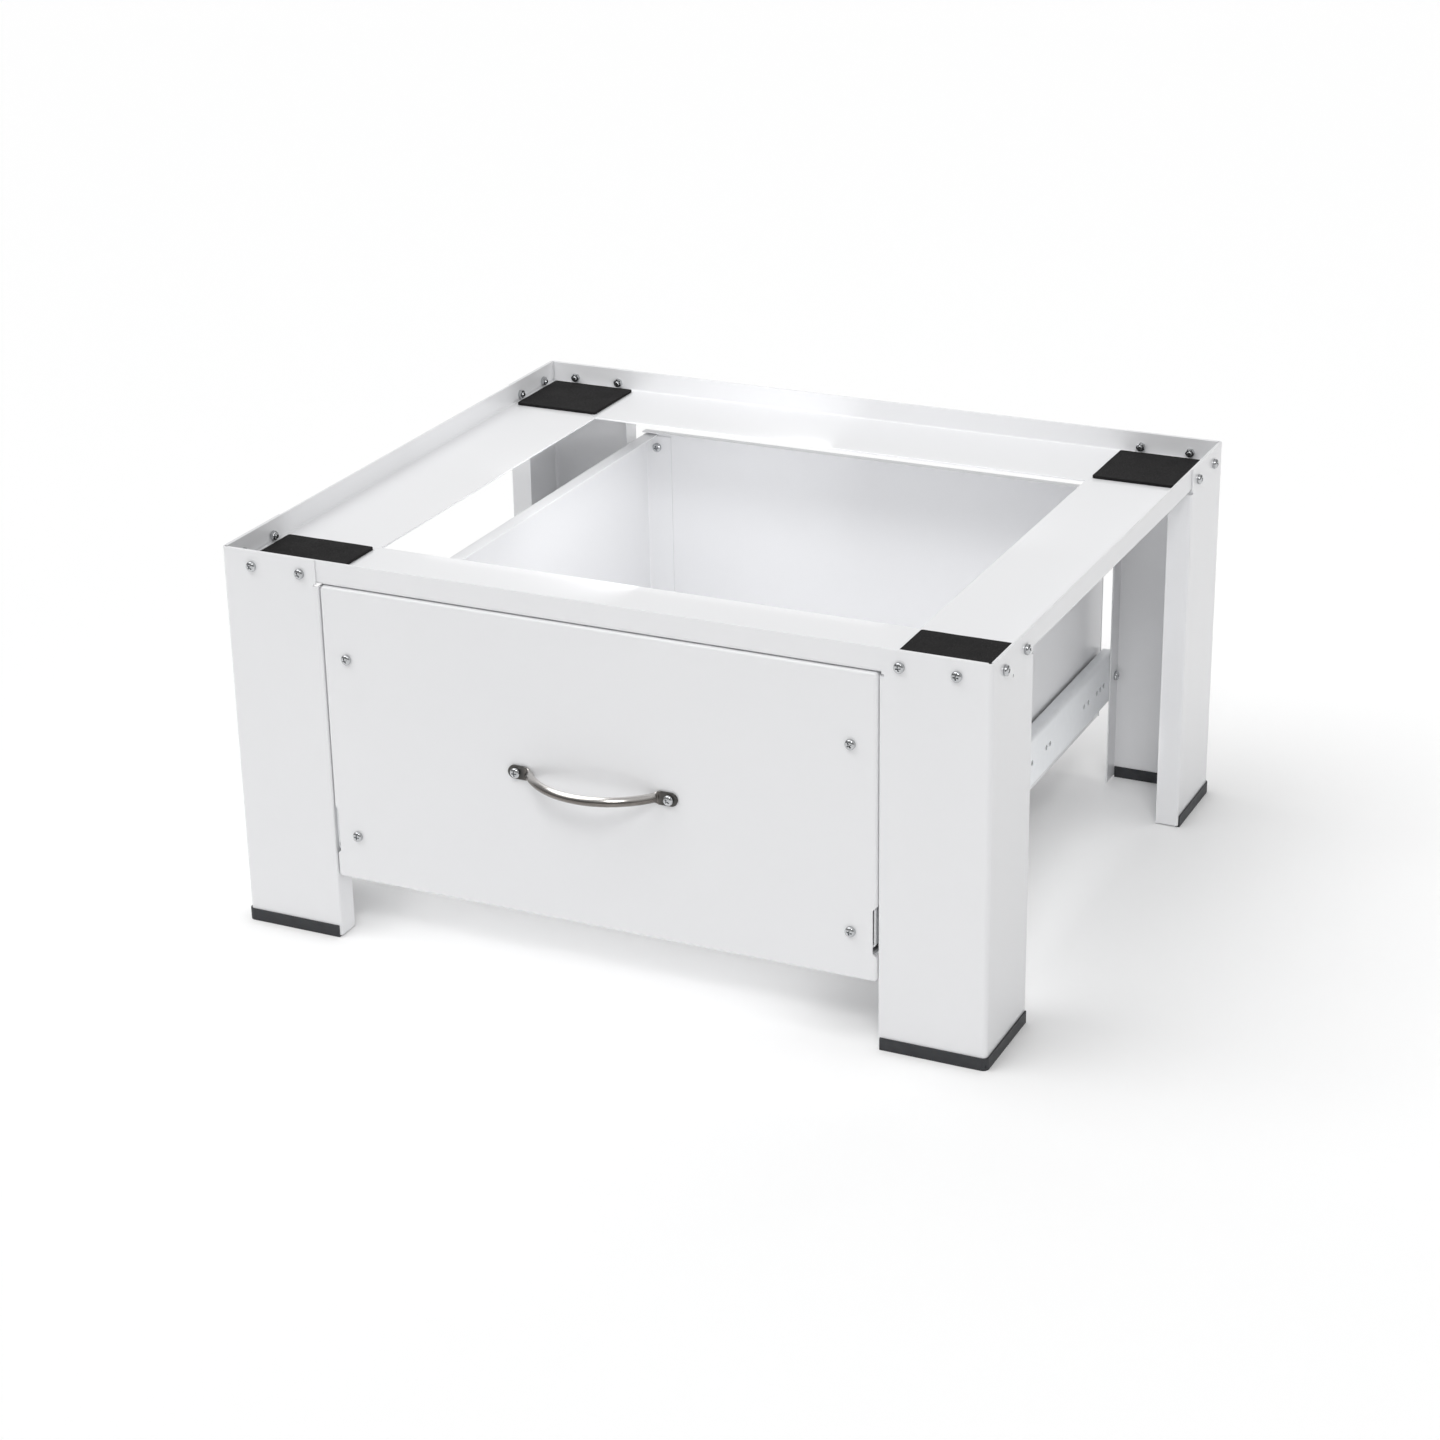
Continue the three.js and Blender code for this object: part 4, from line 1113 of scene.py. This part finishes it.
    def _lever(self) -> None:
        """The release lever on the drawer's member, ahead of the ball cage: a thin bent strip of plastic."""
        box = Box.of(f"slide_inner_{self.side}")
        near = box.face(0, -self.sign) + self.sign * (self.sheet + 0.55)
        far = near + self.sign * 1.7
        start = float(box.low[1]) + 22
        outline = BentSheet([(near, start, 0), (near, start + 46, 3.0), (far, start + 58, 3.0),
                             (far, start + 96, 0)], 0.9, edge=0.25)
        shell = outline.along(Axis.Z, self.z - 5, self.z + 5)
        Piece(f"slide_lever_{self.side}", shell, Finish.LEVER, "drawer").build()

    def _screws(self) -> None:
        """Small screws from inside the drawer into the member on it."""
        side = Box.of(f"drawer_side_{self.side}")
        wall = side.face(0, self.sign) - self.sign * 1.0
        start, end = side.span(1)
        screw = PanHead(radius=3.4, height=1.7, thread=1.7, recess=1.8, arm=0.9, deep=0.9)
        shell = Shell.joined([screw.head(), screw.shank(0.2, -1.9)])
        for i, y in enumerate((start + 38, (start + end) / 2, end - 46)):
            there = shell.placed((wall, y, self.z), (-self.sign, 0, 0))
            Piece(f"slide_inner_screw_{self.side}_{i + 1}", there, Finish.SCREW, "drawer").build()


# ---------------------------------------------------------------- drawer


@dataclass
class Drawer:
    """The drawer: front, sides, back, bottom and handle.

    Args:
        sheet: Thickness of the box.
        bend: Middle radius of its bends.
        front_sheet: Thickness of the front.
        front_round: Outer radius of the front's bends.
        folds: Widths of a side's turned edges: top, bottom, and front and rear.
        flange_gap: Gap between turned edges at a corner.
        notch: Half the height of the gap in the front's flanges for a slide.
        window: Bottom and top of the notch through the front's bend, from the slide's middle.
        bite: Depth of that notch.
        mitre: Height of the cut at the lower end of the front's flanges.
    """

    sheet: float = 1.0
    bend: float = 1.5
    front_sheet: float = 1.2
    front_round: float = 3.0
    folds: Triple = (13.0, 14.0, 22.0)
    flange_gap: float = 2.5
    notch: float = 25.75
    window: Pair = (-21.0, 14.0)
    bite: float = 3.6
    mitre: float = 6.0

    def build(self) -> None:
        """Makes every piece of the drawer."""
        self._front()
        for side in SIDES:
            self._side(side)
        self._back()
        self._bottom()
        Handle().build()

    def _front(self) -> None:
        """The front: a pan with gaps for the slides in its flanges, and a notch beside each in its bend."""
        box = Box.of("drawer_front")
        low_y, high_y = box.span(1)
        shell = folded_pan(Axis.Y, box.span(2), box.span(0), low_y, 1, high_y - low_y, self.front_sheet,
                           self.front_round)
        z = float(Box.of("slide_outer_left").middle[2])
        bottom = box.low[2]
        flange, rear = low_y + self.front_round, high_y + 1
        tools = []
        for x in box.span(0):
            sign = math.copysign(1, x)
            across = (x - sign * self.front_round, x + sign)
            tools.append(block(across, (flange, rear), (z - self.notch, z + self.notch)))
            low, high = z + self.window[0], z + self.window[1]
            deep, past, slope = x - sign * self.bite, x + sign, self.bite + 1
            bite = np.array([(low - slope, past), (low, deep), (high, deep), (high + slope, past)])
            tools.append(prism(Axis.Y, bite, (low_y - 1, flange + 0.01)))
            corners = np.array([(flange, bottom - 1), (rear, bottom - 1), (rear, bottom + self.mitre),
                                (flange, bottom + self.front_sheet)])
            tools.append(prism(Axis.X, corners, across))
        Piece("drawer_front_sheet", shell, Finish.PAINT, "drawer", "drawer_front", tools).build()

    def _side(self, side: str) -> None:
        """A drawer side: a pan whose turned edges are trimmed to their widths."""
        sign = SIDES[side]
        name = f"drawer_side_{side}"
        box = Box.of(name)
        outer, inner = box.face(0, sign), box.face(0, -sign)
        bend = self.bend + self.sheet / 2
        shell = folded_pan(Axis.X, box.span(1), box.span(2), outer, -sign, abs(outer - inner), self.sheet,
                           bend, 0.2)
        (start, end), (low, high) = box.span(1), box.span(2)
        gap = self.flange_gap
        front, rear = (start - 1, start + gap), (end - gap, end + 1)
        under, over = (low - 1, low + gap), (high - gap, high + 1)
        lengthwise, upright = (start - 1, end + 1), (low - 1, high + 1)
        cuts = [*zip(self.folds, (lengthwise, lengthwise, front), (over, under, upright)),
                *((bend, y, z) for y in (front, rear) for z in (under, over))]
        tools = [block((outer - sign * depth, inner - sign), y, z) for depth, y, z in cuts]
        Piece(f"{name}_sheet", shell, Finish.PAINT, "drawer", name, tools).build()

    def _back(self) -> None:
        """The back, with its top edge turned forward."""
        box = Box.of("drawer_back")
        half = self.sheet / 2
        top, rear = box.high[2] - half, box.high[1] - half
        corners = [(box.low[1], top, 0), (rear, top, self.bend), (rear, box.low[2], 0)]
        shell = BentSheet(corners, self.sheet, 0.2).along(Axis.X, *box.span(0))
        Piece("drawer_back_sheet", shell, Finish.PAINT, "drawer", "drawer_back").build()

    def _bottom(self) -> None:
        """The bottom: a flat sheet with rounded edges."""
        box = Box.of("drawer_bottom")
        low, high = box.span(2)
        drawn, rise = rounding(0.2)
        profile = [*zip(drawn, low + rise), *zip(drawn[::-1], high - rise[::-1])]
        shell = stacked(Axis.Z, box.span(0), box.span(1), 2.0, profile)
        Piece("drawer_bottom_sheet", shell, Finish.PAINT, "drawer", "drawer_bottom").build()


@dataclass
class Handle:
    """A bow handle with flat tabs.

    Its middle line in plan is a tab, an arc away from the front, the bow's arc, and the same back. The
    arcs are tangent to each other. Its section is a superellipse that swells from the tab to the bow, late
    in the bend, so that its back stays clear of the front, and that turns from a flat strip to two facets.

    Args:
        holes: Distance between its screws.
        tab_end: Screw to the end of a tab.
        tab: Thickness and height of a tab.
        bar: Thickness and height of the bow.
        span: Distance between the starts of the bends.
        bend: Middle radius of the bends.
        square: Power of the tab's superellipse. The bow's is 1 more.
    """

    holes: float = 128
    tab_end: float = 6.8
    tab: Pair = (2.0, 11.0)
    bar: Pair = (7.0, 8.0)
    span: float = 111
    bend: float = 4
    square: float = 0.34

    def _line(self, reach: float) -> Array:
        """The middle line for a reach from the front, as rows of (x, out, heading, share of bow, height)."""
        flat = self.tab[0] / 2
        rise = reach - self.bar[0] / 2 - flat
        half = self.span / 2
        centres = (half ** 2 + rise ** 2) / (2 * rise)
        opening = math.asin(half / centres)
        radius = centres - self.bend
        round_end = self.tab[1] / 2
        end = self.holes / 2 + self.tab_end - round_end
        tip = np.radians(np.linspace(86, 0, 12))
        straight = np.linspace(end, half, 8)[1:-1]
        turn = np.linspace(0, opening, 12)
        sweep = np.linspace(opening, 0, 32)[1:]
        level = np.zeros(len(tip) + len(straight))
        grown = np.concatenate([level, turn / opening, np.ones(len(sweep))])
        tall = self.tab[1] + (self.bar[1] - self.tab[1]) * grown
        tall[:len(tip)] = 2 * round_end * np.cos(tip)
        line = np.column_stack([
            np.concatenate([end + round_end * np.sin(tip), straight, half - self.bend * np.sin(turn),
                            radius * np.sin(sweep)]),
            flat + np.concatenate([level, self.bend * (1 - np.cos(turn)),
                                   rise - radius * (1 - np.cos(sweep))]),
            np.concatenate([level, turn, sweep]),
            grown,
            tall,
        ])
        return np.vstack([line, line[-2::-1] * (-1, 1, -1, 1, 1)])

    def build(self) -> None:
        """Makes the handle."""
        box = Box.of("handle")
        panel = float(box.high[1])
        x, out, angle, grown, tall = self._line(panel - float(box.low[1])).T[..., None]
        thick = self.tab[0] + (self.bar[0] - self.tab[0]) * grown ** 3
        ring = circle(40)
        outward, up = (np.sign(part) * np.abs(part) ** (self.square + grown) / 2 for part in ring.T)
        outward *= thick
        rings = np.stack([x + outward * np.sin(angle), panel - out - outward * np.cos(angle),
                          float(box.middle[2]) + up * tall], axis=-1)
        Piece("handle_bow", lattice(rings), Finish.HANDLE, "drawer", "handle", smooth=50).build()


# ---------------------------------------------------------------- studio


@dataclass(frozen=True)
class SoftLight:
    """A distant light as broad as a studio soft box.

    Args:
        azimuth: Where it stands, in degrees from the front towards the right.
        elevation: Its height in degrees.
        strength: How much it lights a face that looks at it, with 1 as the level of a white world.
        breadth: Its width in degrees, which softens its shadows.
    """

    azimuth: float
    elevation: float
    strength: float
    breadth: float

    def build(self, name: str) -> None:
        """Makes the light."""
        data = bpy.data.lights.new(name, "SUN")
        data.energy = self.strength * math.pi
        data.angle = math.radians(self.breadth)
        turn, rise = math.radians(self.azimuth), math.radians(self.elevation)
        shining = Vector((-math.sin(turn) * math.cos(rise), math.cos(turn) * math.cos(rise), -math.sin(rise)))
        link(name, data).rotation_euler = shining.to_track_quat("-Z", "Y").to_euler()


@dataclass(frozen=True)
class SoftBox:
    """A rectangle of light close to the pedestal. It can't be seen from behind.

    Args:
        place: Its middle, in millimetres.
        size: Its width and height, or its depth for one that looks down.
        facing: The way it shines.
        strength: Its brightness, with 1 as the level of a white world.
    """

    place: Triple
    size: Pair
    facing: Triple
    strength: float

    def build(self, name: str) -> None:
        """Makes the light. Its power is pi times its brightness times its area."""
        data = bpy.data.lights.new(name, "AREA")
        data.shape = "RECTANGLE"
        data.size, data.size_y = self.size[0] * MM, self.size[1] * MM
        data.energy = self.strength * math.pi * data.size * data.size_y
        light = link(name, data)
        light.location = Vector(self.place) * MM
        if self.facing != DOWN:
            light.rotation_euler = Vector(self.facing).to_track_quat("-Z", "Y").to_euler()


DOWN: Triple = (0, 0, -1)


@dataclass
class Studio:
    """The floor, the lights and the camera.

    Args:
        azimuth: Camera azimuth in degrees, 0 looks along +Y.
        elevation: Camera elevation in degrees.
        roll: Camera roll in degrees.
        distance: Camera to target along the view, in millimetres.
        offset: Target's place in the view, right and up of the middle, in millimetres.
        lens: Focal length for a 36 mm sensor.
        target_z: Height of the target.
        world: Brightness of the pale surroundings.
        lights: The distant lights. The front one casts the handle's shadow, the key shines in its bow.
    """

    azimuth: float = 25.521
    elevation: float = 22.89
    roll: float = -1.015
    distance: float = 2588.371
    offset: Pair = (20.025, 35.789)
    lens: float = 79.155
    target_z: float = 159.0
    world: float = 0.25
    lights: dict[str, SoftLight] = field(default_factory=lambda: {
        "ceiling": SoftLight(0, 90, 0.16, 100),
        "key": SoftLight(-62, 58, 0.38, 50),
        "front": SoftLight(24, 47, 0.22, 16),
        "fill": SoftLight(75, 22, 0.06, 60),
        "rear": SoftLight(205, 24, 0.2, 80),
    })

    def build(self) -> None:
        """Makes the studio."""
        bpy.context.scene.view_settings.view_transform = "Standard"
        self._camera()
        self._floor()
        self._world()
        for name, light in {**self.lights, **self._boxes()}.items():
            light.build(name)

    def _camera(self) -> None:
        """Sets the camera at the photograph's viewing angle."""
        middle_y = (Box.of("leg_front_left").low[1] + Box.of("leg_rear_left").high[1]) / 2
        target = np.array([0, middle_y, self.target_z])
        a, e, r = (math.radians(v) for v in (self.azimuth, self.elevation, self.roll))
        back = np.array([math.sin(a) * math.cos(e), -math.cos(a) * math.cos(e), math.sin(e)])
        right = np.cross((0, 0, 1), back)
        right /= np.linalg.norm(right)
        up = np.cross(back, right)
        right, up = right * math.cos(r) + up * math.sin(r), up * math.cos(r) - right * math.sin(r)
        turn = np.stack([right, up, back], axis=1)
        place = target - turn @ np.array([*self.offset, -self.distance])
        data = bpy.data.cameras.new("camera")
        data.lens = self.lens
        data.sensor_width = 36
        data.clip_end = 50
        camera = link("camera", data)
        camera.matrix_world = Matrix.Translation(Vector(place * MM)) @ Matrix(turn.tolist()).to_4x4()
        bpy.context.scene.camera = camera

    def _floor(self) -> None:
        """A plain pale floor."""
        size = 12000.0
        mesh = bpy.data.meshes.new("floor")
        corners = np.array([(-size, -size, 0), (size, -size, 0), (size, size, 0), (-size, size, 0)])
        mesh.from_pydata(corners * MM, [], [(0, 1, 2, 3)])
        nodes = Nodes("floor_white")
        nodes.set(Base_Color=(1.0, 1.0, 1.0, 1), Roughness=0.9, Specular_IOR_Level=0.1)
        mesh.materials.append(nodes.material)
        link("floor", mesh)

    def _world(self) -> None:
        """A pale, even world."""
        world = bpy.data.worlds.new("studio")
        bpy.context.scene.world = world
        world.use_nodes = True
        background = world.node_tree.nodes["Background"]
        background.inputs["Color"].default_value = (1, 1, 1, 1)
        background.inputs["Strength"].default_value = self.world

    def _boxes(self) -> dict[str, SoftBox]:
        """Soft boxes that lighten what the frame shades: drawer, slides, floor and the rails' edges."""
        front, rear = Box.of("rail_front"), Box.of("rail_rear")
        top, deck = float(front.high[2]), float(Box.of("pad_front_left").low[2])
        middle = float((front.low[1] + rear.high[1]) / 2)
        deep = float(rear.low[1] - front.high[1]) - 10
        wide = float(Box.of("drawer_side_right").low[0] - Box.of("drawer_side_left").high[0])
        floor = float(Box.of("drawer_bottom").low[2])
        leg = Box.of("leg_front_right")
        leg_x, leg_y = float(leg.high[0]), float(leg.high[1])
        above = (deck + top) / 2 + 12
        left, back = (-1, 0, 0), (0, 1, 0)
        return {
            "drawer_box": SoftBox((0, middle, top - 12), (wide, deep), DOWN, 0.3),
            "floor_box": SoftBox((-30, leg_y - 20, floor - 8), (wide, 100), DOWN, 0.45),
            "slide_box": SoftBox((leg_x - 15, middle, 75), (deep, 50), left, 0.75),
            "leg_box": SoftBox((float(leg.middle[0]), leg_y + 10, deck / 2), (80, 250), back, 1.3),
            "left_box": SoftBox((0, middle, above), (deep, 30), left, 8.0),
            "rear_box": SoftBox((0, middle, above), (wide, 30), back, 4.6),
        }


def main() -> None:
    """Builds every sub-assembly in order."""
    logging.basicConfig(level=logging.INFO, format="%(message)s")
    Studio().build()
    TopFrame().build()
    for side in SIDES:
        Slide(side).build()
    Drawer().build()
    Fasteners().build()


if __name__ == "__main__":
    main()
